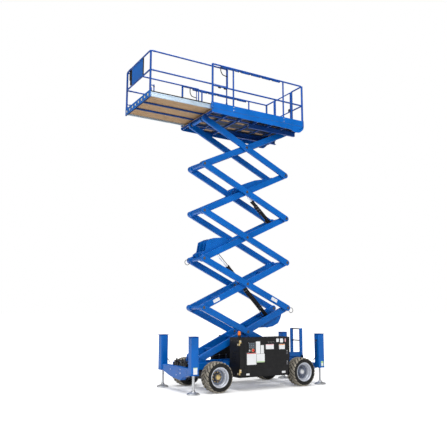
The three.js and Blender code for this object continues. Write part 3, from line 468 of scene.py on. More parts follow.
LOWER_BASE = [(330, -60), (650, -205), (791, -248), (965, -248), (1065, -186), (1160, -92), (1180, -60),
              (1180, 30),
              (330, 30)]
LOWER_ROD = [(-1245, -40), (-1245, 110), (-1125, 130), (-985, 318), (-800, 318), (-467, 205), (-467, -40)]
UPPER_ROD = [(-260, -40), (-260, 100), (-110, 200), (220, 200), (450, 185), (820, 100), (820, -40)]
LOWER_BASE_PIN, LOWER_ROD_PIN = (1, 933, -188), (3, -849, 259)
UPPER_BASE_PIN, UPPER_ROD_PIN = (3, 1054, -11), (4, 112, 140)
LOWER_GAP, UPPER_GAP = 82, 76


GUSSET_Y = INNER_Y - 5
RING_RADIUS = 60


def bracket(shape, outline, pin, gap, members, with_pin):
    s, n = pin[1:]
    gusset(shape, outline, 20, (-GUSSET_Y + 20, GUSSET_Y - 20))
    gusset(shape, outline, 20, (-gap, gap))
    lows = [p[0] for p in outline]
    for side in SIDES:
        shape.box(min(lows) + 20, max(lows) - 20, side * (INNER_Y - 30), side * (INNER_Y + 4), -44, 44, BLUE,
                  4)
        shape.cross(s, n, side * (gap - 1), side * (INNER_Y - 4), 28, BLUE, 24, 2)
        shape.cross(s, n, side * (INNER_Y - 8), side * (INNER_Y - 2), 44, BLUE, 28, 2)
        shape.cross(s, n, side * (gap + 18), side * (gap + 28), 44, BLUE, 28, 3)
    for member in members:
        cross_tube(shape, member[0], member[1], 30, INNER_Y - 6)
    if with_pin:
        shape.cross(s, n, -gap, gap, 29, STEEL, 28, 0)


PLAIN_TUBES = {1: (-900, -250), 2: (-750, 750), 3: (400,), 4: (-1190, 1080), 5: (-1000, 1000)}


def roller(shape, s, from_y):
    for side in SIDES:
        shape.cross(s, 0, side * (from_y - 4), side * (CHANNEL_IN + 18), 29, STEEL, 28, 1)
        shape.cross(s, 0, side * (CHANNEL_IN + 3), side * (CHANNEL_OUT - 13), 43, STEEL, 36, 3)
        shape.cross(s, 0, side * (CHANNEL_OUT - 13), side * (CHANNEL_OUT - 11), 22, STEEL, 24, 0.5)


def inner_arms(level):
    shape = Shape(f"inner_arm_pair_{level}")
    shape.place = arm_place(level, "inner")
    for side in SIDES:
        arm_bar(shape, side, INNER_Y, INNER_W)
        proud = 1 if level == LEVELS else 12
        shape.cross(0, 0, side * (INNER_Y - min(proud, 8)), side * (OUTER_Y + 2), 52, BLUE, 32, 3)
        shape.cross(0, 0, side * (INNER_Y - proud), side * (OUTER_Y + OUTER_W + 6), 29.5, STEEL, 28, 2)
        if level < LEVELS:
            shape.cross(0, 0, side * (INNER_Y - 11), side * (INNER_Y - 6), 60, BLUE, 32, 2)
        for s in (-HALF_SPAN, HALF_SPAN):
            shape.cross(s, 0, side * (INNER_Y - 8), side * (INNER_Y + 2), 52, BLUE, 32, 3)
            shape.cross(s, 0, side * (INNER_Y + INNER_W - 2), side * (INNER_Y + INNER_W + 2), 52, BLUE, 32,
                        1.5)
            shape.cross(s, 0, side * (INNER_Y - 12), side * (INNER_Y - 2), 34, STEEL, 28, 2)
    for s in PLAIN_TUBES[level]:
        cross_tube(shape, s)
    if level == 1:
        shape.cross(-HALF_SPAN, 0, -341, 341, 29.5, STEEL, 28, 2)
        for side in SIDES:
            shape.cross(-HALF_SPAN, 0, side * 338, side * 341, 34, STEEL, 28, 1.5)
        bracket(shape, LOWER_BASE, LOWER_BASE_PIN, LOWER_GAP, ((640, -170),), True)
    if level == 2:
        blank_label(shape, -895, INNER_Y + INNER_W)
    if level == 3:
        hose_ring(shape, -HALF_SPAN, INNER_Y + INNER_W / 2)
        bracket(shape, LOWER_ROD, LOWER_ROD_PIN, LOWER_GAP, ((-1130, 95),), False)
        shape.cross(UPPER_BASE_PIN[1], UPPER_BASE_PIN[2], -INNER_Y - 2, INNER_Y + 2, 29.5, STEEL, 28, 0)
        for side in SIDES:
            shape.cross(UPPER_BASE_PIN[1], UPPER_BASE_PIN[2], side * 60, side * (INNER_Y + 2), 38, BLUE, 28,
                        2)
    if level == 4:
        bracket(shape, UPPER_ROD, UPPER_ROD_PIN, UPPER_GAP, ((640, 100),), False)
    if level == LEVELS:
        shape.cross(HALF_SPAN, 0, -INNER_Y - 2, INNER_Y + 2, 29.5, STEEL, 28, 0)
        roller(shape, HALF_SPAN, INNER_Y)
    return shape.finish(f"inner_arms_{level}", (f"inner_arms_{level}",))


def outer_arms(level):
    shape = Shape(f"outer_arm_pair_{level}")
    shape.place = arm_place(level, "outer")
    face = OUTER_Y + OUTER_W
    for side in SIDES:
        arm_bar(shape, side, OUTER_Y, OUTER_W)
        pin_end(shape, 0, side, side * face)
        for s in (-HALF_SPAN, HALF_SPAN):
            sliding = level == 1 and s > 0
            if not sliding:
                pin_end(shape, s, side, side * face)

    def end_tube(s):
        shape.cross(s, 0, -OUTER_Y - 5, OUTER_Y + 5, 29.5, STEEL, 28, 0)
        shape.cross(s, 0, 14 - INNER_Y, INNER_Y - 14, 40, BLUE, 28, 2)
        for side in SIDES:
            shape.cross(s, 0, side * (INNER_Y - 34), side * (INNER_Y - 13), 50, BLUE, 28, 4)

    end_tube(-HALF_SPAN)
    if level == 1:
        shape.cross(HALF_SPAN, 0, -OUTER_Y - 5, OUTER_Y + 5, 29.5, STEEL, 28, 0)
        roller(shape, HALF_SPAN, OUTER_Y)
    elif level == 2:
        for side in SIDES:
            shape.cross(HALF_SPAN, 0, side * (INNER_Y - 6), side * (OUTER_Y + 5), 29.5, STEEL, 28, 1)
        blank_label(shape, 845, face)
        hose_ring(shape, HALF_SPAN, -OUTER_Y - OUTER_W / 2)
    else:
        end_tube(HALF_SPAN)
    if level == LEVELS:
        for side in SIDES:
            shape.cross(-HALF_SPAN, 0, side * (face - 2), side * (face + 34), 29.5, STEEL, 28, 2)
    return shape.finish(f"outer_arms_{level}", (f"outer_arms_{level}",))


# ---------------------------------------------------------------- lift cylinders
def on_arm(pin):
    level, s, n = pin
    x = BASE_X + STACK / 2 + s * math.cos(REST) - n * math.sin(REST)
    z = BASE_Z + (level - 0.5) * RISE + s * math.sin(REST) + n * math.cos(REST)
    return x, z


def cylinder(prefix, base, rod, barrel_r, rod_r, barrel_length, gap, rod_length):
    (x0, z0), (x1, z1) = on_arm(base), on_arm(rod)
    length = math.hypot(x1 - x0, z1 - z0)
    turn = Matrix.Translation((x0, 0, z0)) @ Matrix.Rotation(-math.atan2(z1 - z0, x1 - x0), 4, "Y")
    eye = barrel_r - 4
    barrel = Shape(f"{prefix}_cylinder_tube")
    barrel.place = turn
    barrel.rod((eye * 0.5, 0, 0), (barrel_length - 60, 0, 0), barrel_r - 2, BLACK, 40, 3)
    barrel.rod((barrel_length - 70, 0, 0), (barrel_length - 3, 0, 0), barrel_r + 2, BLACK, 40, 4)
    barrel.rod((barrel_length - 8, 0, 0), (barrel_length, 0, 0), rod_r + 12, STEEL, 40, 2)
    barrel.cross(0, 0, -gap + 9, gap - 9, eye, BLACK, 36, 3)
    barrel.rod((40, 0, 0), (120, 0, 0), barrel_r + 2, BLACK, 40, 5)
    barrel.box(90, 190, -26, 26, barrel_r - 12, barrel_r + 26, BLACK, 4)
    barrel.rod((140, 0, barrel_r + 20), (140, 0, barrel_r + 48), 13, STEEL, 6, 1)
    barrel.pipe([(140, 0, barrel_r + 44), (140, 0, barrel_r + 62), (330, 0, barrel_r + 62),
                 (420, 0, barrel_r + 12), (barrel_length - 150, 0, barrel_r + 9)], 9, HOSE, 40)
    for s in (460, (460 + barrel_length - 190) / 2, barrel_length - 190):
        barrel.rod((s, 0, 0), (s + 22, 0, 0), barrel_r + 3, STEEL, 40, 1)
        barrel.box(s, s + 22, -16, 16, barrel_r - 4, barrel_r + 20, STEEL, 2)
    barrel.finish(f"{prefix}_cylinder_barrel", (f"{prefix}_cylinder_barrel",))
    ram = Shape(f"{prefix}_cylinder_ram")
    ram.place = turn
    ram.rod((length - rod_length, 0, 0), (length - 20, 0, 0), rod_r, CHROME, 40, 2)
    ram.cross(length, 0, -gap + 8, gap - 8, rod_r + 17, BLACK, 36, 3)
    ram.rod((length - rod_r - 45, 0, 0), (length - rod_r, 0, 0), rod_r + 6, BLACK, 36, 4)
    ram.finish(f"{prefix}_cylinder_rod", (f"{prefix}_cylinder_rod",))


for arm_level in range(1, LEVELS + 1):
    inner_arms(arm_level)
    outer_arms(arm_level)
cylinder("lower", LOWER_BASE_PIN, LOWER_ROD_PIN, 48, 34, 1830, LOWER_GAP, 1800)
cylinder("upper", UPPER_BASE_PIN, UPPER_ROD_PIN, 46, 27, 800, UPPER_GAP, 880)


# ---------------------------------------------------------------- wheels
def tyre(name, x, side, body):
    """Black carcass with bright worn chevron lugs, turned around the wheel's own axle."""
    half = TYRE_W / 2
    centre = (x, side * WHEEL_Y, TYRE_R)
    shape = Shape(f"{name}_tyre_rubber")
    carcass = [(RIM_R - 1, -half + 25), (RIM_R + 8, -half + 14), (RIM_R + 30, -half + 5),
               (RIM_R + 62, -half + 1),
               (RIM_R + 88, -half + 6), (TYRE_R - 26, -half + 16), (TYRE_R - 20, -half + 26),
               (TYRE_R - 17, -half + 44)]
    profile = carcass + [(r, -y) for r, y in reversed(carcass)]
    shape.lathe(profile[:7], centre, (0, 1, 0), RUBBER, 72)
    shape.lathe(profile[-7:], centre, (0, 1, 0), RUBBER, 72)
    shape.lathe(profile[6:-6], centre, (0, 1, 0), GROOVE, 72)
    shape.lathe([(RIM_R - 1, half - 25), (RIM_R - 1, -half + 25)], centre, (0, 1, 0), RUBBER, 72)
    for face in SIDES:
        y = face * (half - 3)
        shape.lathe([(RIM_R + 46, y - face * 3), (RIM_R + 48, y + face * 1.5), (RIM_R + 52, y + face * 1.5),
                     (RIM_R + 54, y - face * 3)], centre, (0, 1, 0), RUBBER, 72)
    lugs = 22
    sweep = 2 * math.pi / lugs * 1.25
    stations = [(0.02, TYRE_R), (0.3, TYRE_R), (0.62, TYRE_R - 1), (0.84, TYRE_R - 5), (0.95, TYRE_R - 14),
                (0.985, TYRE_R - 24)]
    for i in range(lugs):
        for face in SIDES:
            start = 2 * math.pi * (i + (0.5 if face > 0 else 0)) / lugs
            part = bmesh.new()
            rings = []
            for share, top in stations:
                angle = start + sweep * share
                width = (20 + 9 * share) / TYRE_R
                y = face * half * share
                low = min(top - 2, TYRE_R - 30)
                ring = []
                for radius, turn in ((low, -width * 1.25), (top, -width), (top, width), (low, width * 1.25)):
                    ring.append(part.verts.new((radius * math.cos(angle + turn), y,
                                                radius * math.sin(angle + turn))))
                rings.append(ring)
            for a, b in zip(rings, rings[1:]):
                for k in range(4):
                    n = (k + 1) % 4
                    part.faces.new((a[k], a[n], b[n], b[k]))
            part.faces.new(rings[0])
            part.faces.new(rings[-1])
            part.transform(Matrix.Translation(centre))
            shape.take(part, TREAD, 2.0, 1)
    return shape.finish(body, (f"{name}_tyre",), 50)


def rim(name, x, side, body):
    half = TYRE_W / 2
    centre = (x, side * WHEEL_Y, TYRE_R)
    axis = (0, side, 0)
    hub = 700 - WHEEL_Y
    shape = Shape(f"{name}_wheel_dish")
    shape.lathe([(RIM_R - 0.5, -half + 26), (RIM_R - 0.5, half - 30), (RIM_R + 9, half - 22),
                 (RIM_R + 11, half - 13),
                 (RIM_R + 2, half - 11), (RIM_R - 10, half - 20), (RIM_R - 16, half - 36),
                 (RIM_R - 20, half - 74),
                 (RIM_R - 34, half - 84), (RIM_R - 40, half - 100), (RIM_R - 44, hub + 36)],
                centre, axis, WHEEL, 72)
    shape.lathe([(RIM_R - 44, hub + 36), (RIM_R - 52, hub + 22), (RIM_R - 70, hub + 14), (118, hub + 12)],
                centre, axis, WHEEL_DARK, 72)
    shape.lathe([(RIM_R - 8, -half + 26), (RIM_R - 14, -half + 40), (RIM_R - 30, hub - 1), (0, hub - 1)],
                centre, axis,
                WHEEL_DARK, 60)
    front = name.startswith("front")
    disc, cap = (STEEL, BRASS) if front else (WHEEL_DARK, ZINC)
    shape.lathe([(120, hub + 12), (114, hub + 22), (100, hub + 24), (92, hub + 30), (84, hub + 62),
                 (76, hub + 70),
                 (60, hub + 72)], centre, axis, disc, 60)
    shape.lathe([(60, hub + 72), (54, hub + 84), (46, hub + 92), (20, hub + 95), (0, hub + 95.5)], centre,
                axis, cap, 60)
    for i in range(9):
        a = 2 * math.pi * i / 9
        at = Vector((x + 103 * math.cos(a), side * (WHEEL_Y + hub + 24), TYRE_R + 103 * math.sin(a)))
        shape.bolt(at, axis, 9, BRASS if front else STEEL, 11)
    for i in range(6):
        a = 2 * math.pi * (i + 0.5) / 6
        at = Vector((x + 68 * math.cos(a), side * (WHEEL_Y + hub + 71), TYRE_R + 68 * math.sin(a)))
        shape.bolt(at, axis, 5, STEEL, 4)
    shape.rod((x + (RIM_R - 16) * 0.7, side * (WHEEL_Y + half - 60), TYRE_R + (RIM_R - 16) * 0.7),
              (x + (RIM_R - 34) * 0.7, side * (WHEEL_Y + half - 36), TYRE_R + (RIM_R - 34) * 0.7), 4, PLASTIC,
              10, 0.5)
    return shape.finish(body, (f"{name}_rim",), 32)


for wheel_end, wheel_x in (("front", -HALF_WHEELBASE), ("rear", HALF_WHEELBASE)):
    for wheel_side, wheel_sign in (("left", -1), ("right", 1)):
        wheel = f"{wheel_end}_{wheel_side}"
        tyre(wheel, wheel_x, wheel_sign, f"{wheel}_wheel")
        rim(wheel, wheel_x, wheel_sign, f"{wheel}_wheel")


# ---------------------------------------------------------------- axles and steering
KINGPIN_Y = 530


def gear_case(shape, x, nose):
    """The bulged differential with a bolted cover and an oil plug."""
    shape.lathe([(0, -92), (60, -90), (88, -78), (104, -50), (109, -10), (106, 30), (92, 60), (70, 82),
                 (62, 120)],
                (x, 0, TYRE_R), (-nose, 0, 0), IRON, 40)
    shape.lathe([(62, 118), (74, 120), (74, 132), (58, 134), (40, 148), (0, 149)], (x, 0, TYRE_R),
                (-nose, 0, 0), IRON, 40)
    for i in range(10):
        a = 2 * math.pi * i / 10
        shape.bolt((x + nose * 80, 78 * math.cos(a), TYRE_R + 78 * math.sin(a)), (nose, 0, 0), 6, STEEL, 6)
    shape.bolt((x + nose * 90, 0, TYRE_R - 30), (nose, 0, 0), 10, BRASS, 6)


def axles():
    x = -HALF_WHEELBASE
    front = Shape("front_axle_casting")
    for side in SIDES:
        front.prism([(80, TYRE_R - 84), (150, TYRE_R - 52), (380, TYRE_R - 50), (468, TYRE_R - 60),
                     (468, TYRE_R + 60),
                     (80, TYRE_R + 60)] if side > 0 else
                    [(-80, TYRE_R + 60), (-468, TYRE_R + 60), (-468, TYRE_R - 60), (-380, TYRE_R - 50),
                     (-150, TYRE_R - 52),
                     (-80, TYRE_R - 84)], x - 54, x + 54, IRON, "x", 10)
        for z in (TYRE_R + 58, TYRE_R - 84):
            front.box(x - 40, x + 40, side * 458, side * 550, z, z + 26, IRON, 6)
            front.rod((x, side * KINGPIN_Y, z + (26 if z > TYRE_R else -5)),
                      (x, side * KINGPIN_Y, z + (31 if z > TYRE_R else 0)), 26, STEEL, 24, 2)
        front.box(x - 40, x + 40, side * 445, side * 468, TYRE_R - 84, TYRE_R + 84, IRON, 6)
    front.box(x - 54, x + 54, -85, 85, TYRE_R - 60, TYRE_R + 60, IRON, 10)
    gear_case(front, x, 1)
    front.finish("chassis", ("front_axle",))
    rear = Shape("rear_axle_casting")
    x = HALF_WHEELBASE
    for side in SIDES:
        rear.box(x - 54, x + 54, side * 80, side * 556, TYRE_R - 58, TYRE_R + 60, IRON, 12)
        rear.lathe([(60, 500), (96, 505), (104, 520), (105, 560), (103, 592), (92, 600), (46, 602),
                    (44.5, 699)],
                   (x, 0, TYRE_R), (0, side, 0), IRON, 48)
    rear.box(x - 54, x + 54, -85, 85, TYRE_R - 60, TYRE_R + 60, IRON, 10)
    gear_case(rear, x, 1)
    rear.finish("chassis", ("rear_axle",))
    for side, name in ((-1, "left"), (1, "right")):
        x = -HALF_WHEELBASE
        y = side * KINGPIN_Y
        knuckle = Shape(f"{name}_steering_casting")
        knuckle.rod((x, y, TYRE_R - 92), (x, y, TYRE_R + 92), 14.5, STEEL, 24, 2)
        knuckle.rod((x, y, TYRE_R - 57), (x, y, TYRE_R + 57), 34, IRON, 32, 6)
        knuckle.lathe([(40, 5), (52, 20), (70, 40), (98, 46), (100, 52), (99, 82), (88, 86), (46, 88),
                       (44.5, 169)],
                      (x, y, TYRE_R), (0, side, 0), IRON, 48)
        knuckle.box(x + 14, x + 150, y - 18, y + 18, TYRE_R - 52, TYRE_R - 32, IRON, 6)
        knuckle.bolt((x + 130, y, TYRE_R - 32), (0, 0, 1), 12, STEEL, 12)
        knuckle.finish(f"{name}_knuckle", (f"{name}_steering_knuckle",))
    x = -HALF_WHEELBASE + 130
    z = TYRE_R - 52 - 24
    link = Shape("steering_track_rod")
    link.cross(x, z, -KINGPIN_Y + 22, KINGPIN_Y - 22, 12.5, STEEL, 20, 1)
    for side in SIDES:
        y = side * KINGPIN_Y
        link.cross(x, z, y - side * 24, y - side * 80, 17, STEEL, 6, 2)
        link.lathe([(0, -18), (15, -17), (20, -8), (20, 6), (13, 14), (9, 23.5), (0, 23.7)], (x, y, z),
                   (0, 0, 1), STEEL, 28)
    link.finish("tie_rod", ("tie_rod",))


axles()


# ---------------------------------------------------------------- chassis
FRAME_LOW, FRAME_HIGH = 460, 600
FRAME_IN, FRAME_OUT = 290, 370
CHANNEL_FRONT, CHANNEL_REAR = -75, 1385
FRONT_BEAM_X, REAR_BEAM_X = -1735, 1725
FRONT_TUBE_Y, REAR_TUBE_Y = 754, 730
TUBE_HALF = 87.5
TUBE_TOP = 1195
TAIL_LOW, TAIL_HIGH, TAIL_FRONT = 380, 490, 1480
FRONT_BEAM_TOP = 533


def slide_channel(shape, side, middle_z, rear_x, material, closed):
    wall, half = 8, 46
    out0, out1 = sorted((side * (CHANNEL_OUT - wall), side * CHANNEL_OUT))
    y0, y1 = sorted((side * CHANNEL_IN, side * CHANNEL_OUT))
    shape.box(CHANNEL_FRONT, rear_x, out0, out1, middle_z - half - wall, middle_z + half + wall, material, 3)
    for z in (middle_z - half - wall, middle_z + half):
        shape.box(CHANNEL_FRONT, rear_x, y0, y1, z, z + wall, material, 2)
    if closed:
        shape.box(rear_x - 10, rear_x, y0, y1, middle_z - half, middle_z + half, material, 1)


def chassis():
    shape = Shape("chassis_weldment")
    front, rear = FRONT_BEAM_X + 60, REAR_BEAM_X - 60
    for side in SIDES:
        shape.box(front, TAIL_FRONT, side * FRAME_IN, side * FRAME_OUT, FRAME_LOW, FRAME_HIGH, BLUE, 8, 3)
        shape.box(TAIL_FRONT - 80, rear, side * FRAME_IN, side * FRAME_OUT, TAIL_LOW, TAIL_HIGH, BLUE, 8, 3)
        for x in (CHANNEL_FRONT, 620, CHANNEL_REAR - 60):
            shape.box(x, x + 60, side * (FRAME_OUT - 5), side * CHANNEL_OUT, FRAME_HIGH - 60, FRAME_HIGH - 10,
                      BLUE, 3)
        outline = [(BASE_X - 110, FRAME_LOW + 20), (BASE_X + 110, FRAME_LOW + 20), (BASE_X + 60, BASE_Z + 45),
                   (BASE_X + 30, BASE_Z + 68), (BASE_X - 30, BASE_Z + 68), (BASE_X - 60, BASE_Z + 45)]
        y0, y1 = sorted((side * (INNER_Y + INNER_W + 12), side * (INNER_Y + INNER_W + 42)))
        shape.prism(outline, y0, y1, BLUE, bevel=4)
        shape.cross(BASE_X, BASE_Z, side * 336, side * 344, 52, BLUE, 32, 3)
        for x, end in ((-440 if side < 0 else 40, SHOULDER_IN if side < 0 else COVER_IN), (520, COVER_IN)):
            shape.box(x - 40, x + 40, side * (FRAME_OUT - 5), side * (end - 1), FRAME_LOW + 10,
                      FRAME_HIGH - 20, BLUE, 5)
        shape.box(-HALF_WHEELBASE - 70, -HALF_WHEELBASE + 70, side * 200, side * 330, TYRE_R + 60.3,
                  FRAME_LOW + 5, BLUE, 5)
        shape.box(HALF_WHEELBASE - 70, HALF_WHEELBASE + 70, side * FRAME_IN, side * FRAME_OUT, TYRE_R + 60.3,
                  FRAME_LOW + 5,
                  BLUE, 5)
    inner = FRAME_IN + 5
    for x0, x1, z0, z1 in ((front, front + 80, 460, 600), (-1235, -1055, 460, 520), (-500, -420, 460, 590),
                           (180, 240, 400, 500), (1300, 1380, 460, 590),
                           (rear - 80, rear, TAIL_LOW, TAIL_HIGH)):
        shape.box(x0, x1, -inner, inner, z0, z1, BLUE, 6, 3)
    shape.box(1490, rear, -199, 199, TAIL_HIGH - 40, FRAME_HIGH - 0.5, BLUE, 6, 3)
    shape.finish("chassis", ("chassis_frame",))
    for side, name in ((-1, "left"), (1, "right")):
        channel = Shape(f"{name}_roller_track")
        slide_channel(channel, side, BASE_Z, CHANNEL_REAR, BLUE, True)
        for x in (CHANNEL_FRONT, 620, CHANNEL_REAR - 60):
            channel.box(x, x + 60, side * CHANNEL_IN, side * CHANNEL_OUT, FRAME_HIGH - 9.5, BASE_Z - 50, BLUE,
                        3)
            channel.bolt((x + 30, side * (CHANNEL_IN + 30), BASE_Z - 46), (0, 0, 1), 7, STEEL, 5)
        channel.finish("chassis", (f"{name}_slide_channel",))


chassis()


# ---------------------------------------------------------------- outriggers
def outrigger_tube(name, x, y, plate_kind):
    half = TUBE_HALF
    shape = Shape(f"{name}_outrigger_column")
    shape.box(x - half, x + half, y - half, y + half, 392, TUBE_TOP - 8, BLUE, 24, 5)
    shape.box(x - half - 7.8, x + half + 7.8, y - half - 7.8, y + half + 7.8, TUBE_TOP - 12, TUBE_TOP,
              RAIL_BLUE, 4, 2)
    shape.box(x - half - 4, x + half + 4, y - half - 4, y + half + 4, 392, 404, BLUE, 4, 2)
    shape.rod((x, y, 391), (x, y, 400), 44, STEEL, 28, 2)
    for a, b in ((-1, -1), (1, -1), (-1, 1), (1, 1)):
        shape.bolt((x + a * 56, y + b * 56, TUBE_TOP - 5), (0, 0, 1), 6, STEEL, 4.5)
    side = -1 if y < 0 else 1
    face = y + side * half
    if plate_kind == "plain":
        shape.box(x - 48, x + 48, face, face + side * 1.5, 420, 560, LABEL, 0.5)
        shape.box(x - 48, x + 48, face + side * 1.5, face + side * 2.2, 546, 560, GREEN, 0.3)
    else:
        shape.box(x - 30, x + 44, face, face + side * 1.5, 430, 545, GREEN, 0.5)
        shape.box(x - 24, x + 38, face + side * 1.5, face + side * 2.2, 440, 500, LABEL, 0.3)
    inward = -1 if x > 0 else 1
    shape.rod((x + inward * (half + 12), y, 1010), (x + inward * (half + 12), y, 1060), 13, STEEL, 6, 1)
    shape.box(x + inward * half, x + inward * (half + 20), y - 18, y + 18, 1020, 1050, BLACK, 3)
    shape.pipe([(x + inward * (half + 14), y, 1012), (x + inward * (half + 14), y, 660),
                (x + inward * (half + 60), y - side * 60, 560)], 8, HOSE, 60)
    shape.finish("chassis", (f"{name}_outrigger_tube",))


def outrigger_leg(name, x, y):
    shape = Shape(f"{name}_outrigger_foot")
    shape.rod((x, y, 78), (x, y, 820), 27.5, LEG_STEEL, 36, 2)
    shape.lathe([(0, 0), (122, 0), (136, 4), (140, 10), (138, 23), (126, 30), (95, 45), (70, 52), (48, 61),
                 (38, 76),
                 (36, 88), (30, 92), (0, 92)], (x, y, 0), (0, 0, 1), ZINC, 56)
    for i in range(4):
        a = math.pi / 4 + math.pi / 2 * i
        shape.rod((x + 108 * math.cos(a), y + 108 * math.sin(a), 26),
                  (x + 108 * math.cos(a), y + 108 * math.sin(a), 40), 8,
                  STEEL, 12, 1)
    shape.cross(x, 84, y - 46, y + 46, 8, STEEL, 16, 1)
    shape.finish(f"{name}_leg", (f"{name}_outrigger_leg",))


def outrigger_beam(name, x, tube_y, top, lower_edge):
    end = tube_y - TUBE_HALF - 0.5
    shape = Shape(f"{name}_outrigger_crossbeam")
    outline = [(-end, 397), *lower_edge, (end, 397), (end, top), (-end, top)]
    shape.prism(outline, x - 59.5, x + 59.5, BLUE, "x", 8, 3)
    outer = -1 if x < 0 else 1
    face = x + outer * 59.5
    for y, z, r in ((-250, 400, 16), (-250, 480, 11), (-120, 430, 9), (130, 440, 9), (-60, 350, 11),
                    (240, 450, 14)):
        shape.rod((face - outer * 2, y, z), (face + outer * 0.4, y, z), r, LABEL if r > 10 else STEEL, 24,
                  0.2)
    for side in SIDES:
        shape.box(x - 52, x + 52, side * (end - 16), side * (end - 0.2), 402, top + 0.3, BLUE, 4)
    for y in (-330, 330):
        shape.rod((x, y, top - 2), (x, y, top + 0.4), 14, STEEL, 6, 0.3)
    shape.finish("chassis", (f"{name}_outrigger_beam",))


def valve_group():
    """The outrigger valve block and its hoses, clamped on the front of the frame."""
    shape = Shape("outrigger_valves")
    x = FRONT_BEAM_X
    shape.box(x - 45, x + 50, -470, 160, FRONT_BEAM_TOP + 1, FRONT_BEAM_TOP + 14, BLUE, 3)
    for i, y in enumerate((-430, -345, -260, -175, -60, 40, 120)):
        tall = 70 + 22 * (i % 3)
        shape.box(x - 34, x + 34, y - 34, y + 34, FRONT_BEAM_TOP + 12, FRONT_BEAM_TOP + tall, BLACK, 6)
        shape.rod((x, y, FRONT_BEAM_TOP + tall), (x, y, FRONT_BEAM_TOP + tall + 52), 20,
                  STEEL if i % 2 else PLASTIC, 24, 3)
        shape.pipe([(x + 30, y, FRONT_BEAM_TOP + tall - 20), (x + 90, y, FRONT_BEAM_TOP + tall + 10),
                    (x + 150, y + 14, FRONT_BEAM_TOP + tall - 10), (x + 190, y + 20, FRAME_HIGH - 60)], 9,
                    HOSE, 34)
    shape.pipe([(x - 20, -500, FRONT_BEAM_TOP + 60), (x - 30, -300, FRONT_BEAM_TOP + 130),
                (x - 20, 60, FRONT_BEAM_TOP + 120), (x + 10, 175, FRONT_BEAM_TOP + 40)], 11, HOSE, 60)
    shape.finish("chassis")


valve_group()
for end_name, beam_x, tube_y, top, lower_edge in (
        ("front", FRONT_BEAM_X, FRONT_TUBE_Y, FRONT_BEAM_TOP,
         [(-330, 310), (-280, 255), (-190, 255), (200, 290), (330, 315)]),
        ("rear", REAR_BEAM_X, REAR_TUBE_Y, TAIL_HIGH, [(-400, 300), (-280, 285), (280, 285), (400, 300)])):
    outrigger_beam(end_name, beam_x, tube_y, top, lower_edge)
    for side_name, sign in (("left", -1), ("right", 1)):
        outrigger = f"{end_name}_{side_name}"
        outrigger_tube(outrigger, beam_x, sign * tube_y, "plain" if end_name == "front" else "green")
        outrigger_leg(outrigger, beam_x, sign * tube_y)
# ---------------------------------------------------------------- side covers
def cover_front(side):
    return COVER_FRONT if side < 0 else HYDRAULIC_FRONT


def cover_shell(side, name):
    shape = Shape(f"{name}_cover_shell")
    front = cover_front(side)
    hinge = front - 12
    low, high = COVER_LOW + 2, COVER_TOP - 2
    if side < 0:
        plan = [(front, side * SHOULDER_IN), (front, side * SHELL_OUT), (COVER_REAR, side * SHELL_OUT),
                (COVER_REAR, side * COVER_IN), (SHOULDER_REAR, side * COVER_IN),
                (SHOULDER_REAR, side * SHOULDER_IN)]
        shape.box(front + 2, SHOULDER_REAR, side * SHOULDER_IN, side * (SHOULDER_IN + 12), low, high, BLACK,
                  3)
        shape.box(SHOULDER_REAR - 12, SHOULDER_REAR, side * SHOULDER_IN, side * (COVER_IN + 12), low, high,
                  BLACK, 3)
    else:
        plan = [(front, side * COVER_IN), (front, side * SHELL_OUT), (COVER_REAR, side * SHELL_OUT),
                (COVER_REAR, side * COVER_IN)]
    inside = SHOULDER_IN if side < 0 else COVER_IN
    shape.prism(plan, COVER_TOP - 12, COVER_TOP, BLACK, "z", 5, 3)
    shape.prism(plan, COVER_LOW, COVER_LOW + 12, BLACK, "z", 4)
    shape.box(front, front + 12, side * inside, side * SHELL_OUT, low, high, BLACK, 4)
    shape.box(COVER_REAR - 12, COVER_REAR, side * COVER_IN, side * SHELL_OUT, low, high, BLACK, 4)
    shape.box(SHOULDER_REAR - 2 if side < 0 else front + 2, COVER_REAR - 2, side * COVER_IN,
              side * (COVER_IN + 12),
              low, high, BLACK, 3)
    for i in range(7):
        z = 560 + 46 * i
        shape.prism([(front + 1, z), (front - 7, z), (front + 1, z + 20)], *sorted((side * 540, side * 700)),
                    BLACK, bevel=1)
    for z in (350, 1080):
        for y in (500, 620, 740):
            shape.bolt((front, side * y, z), (-1, 0, 0), 8, STEEL, 7)
    for x in (front + 215, 160, 560):
        shape.bolt((x, side * 500, COVER_TOP), (0, 0, 1), 7, STEEL, 5)
    for z in HINGE_HEIGHTS:
        shape.rod((hinge, side * HINGE_Y, z - 62), (hinge, side * HINGE_Y, z - 16), 10, BRASS, 20, 1.5)
        shape.rod((hinge, side * HINGE_Y, z - 17), (hinge, side * HINGE_Y, z + 40), 3.9, STEEL, 16, 0.5)
        shape.box(hinge - 6, front + 1, side * (SHELL_OUT - 58), side * (HINGE_Y - 5), z - 62, z - 18, BRASS,
                  3)
        shape.bolt((hinge - 6, side * (SHELL_OUT - 30), z - 40), (-1, 0, 0), 10, ZINC, 8)
    for x, z in ((front + 75, 1098), (640, 1098), (front + 75, 330), (640, 330)):
        shape.rod((x, side * (SHELL_OUT - 6), z), (x, side * (SHELL_OUT + 1), z), 12, HOSE, 16, 2)
    shape.finish("chassis", (f"{name}_cover",))


def paddle_latch(shape, x, z, side):
    y = side * COVER_OUT
    shape.box(x - 34, x + 34, y - side * 4, y + side * 2.5, z - 52, z + 52, PLASTIC, 3)
    shape.box(x - 25, x + 25, y + side * 2, y + side * 5, z - 42, z + 18, STEEL, 3)
    shape.rod((x, y + side * 2, z + 34), (x, y + side * 5, z + 34), 10, ZINC, 20, 1)


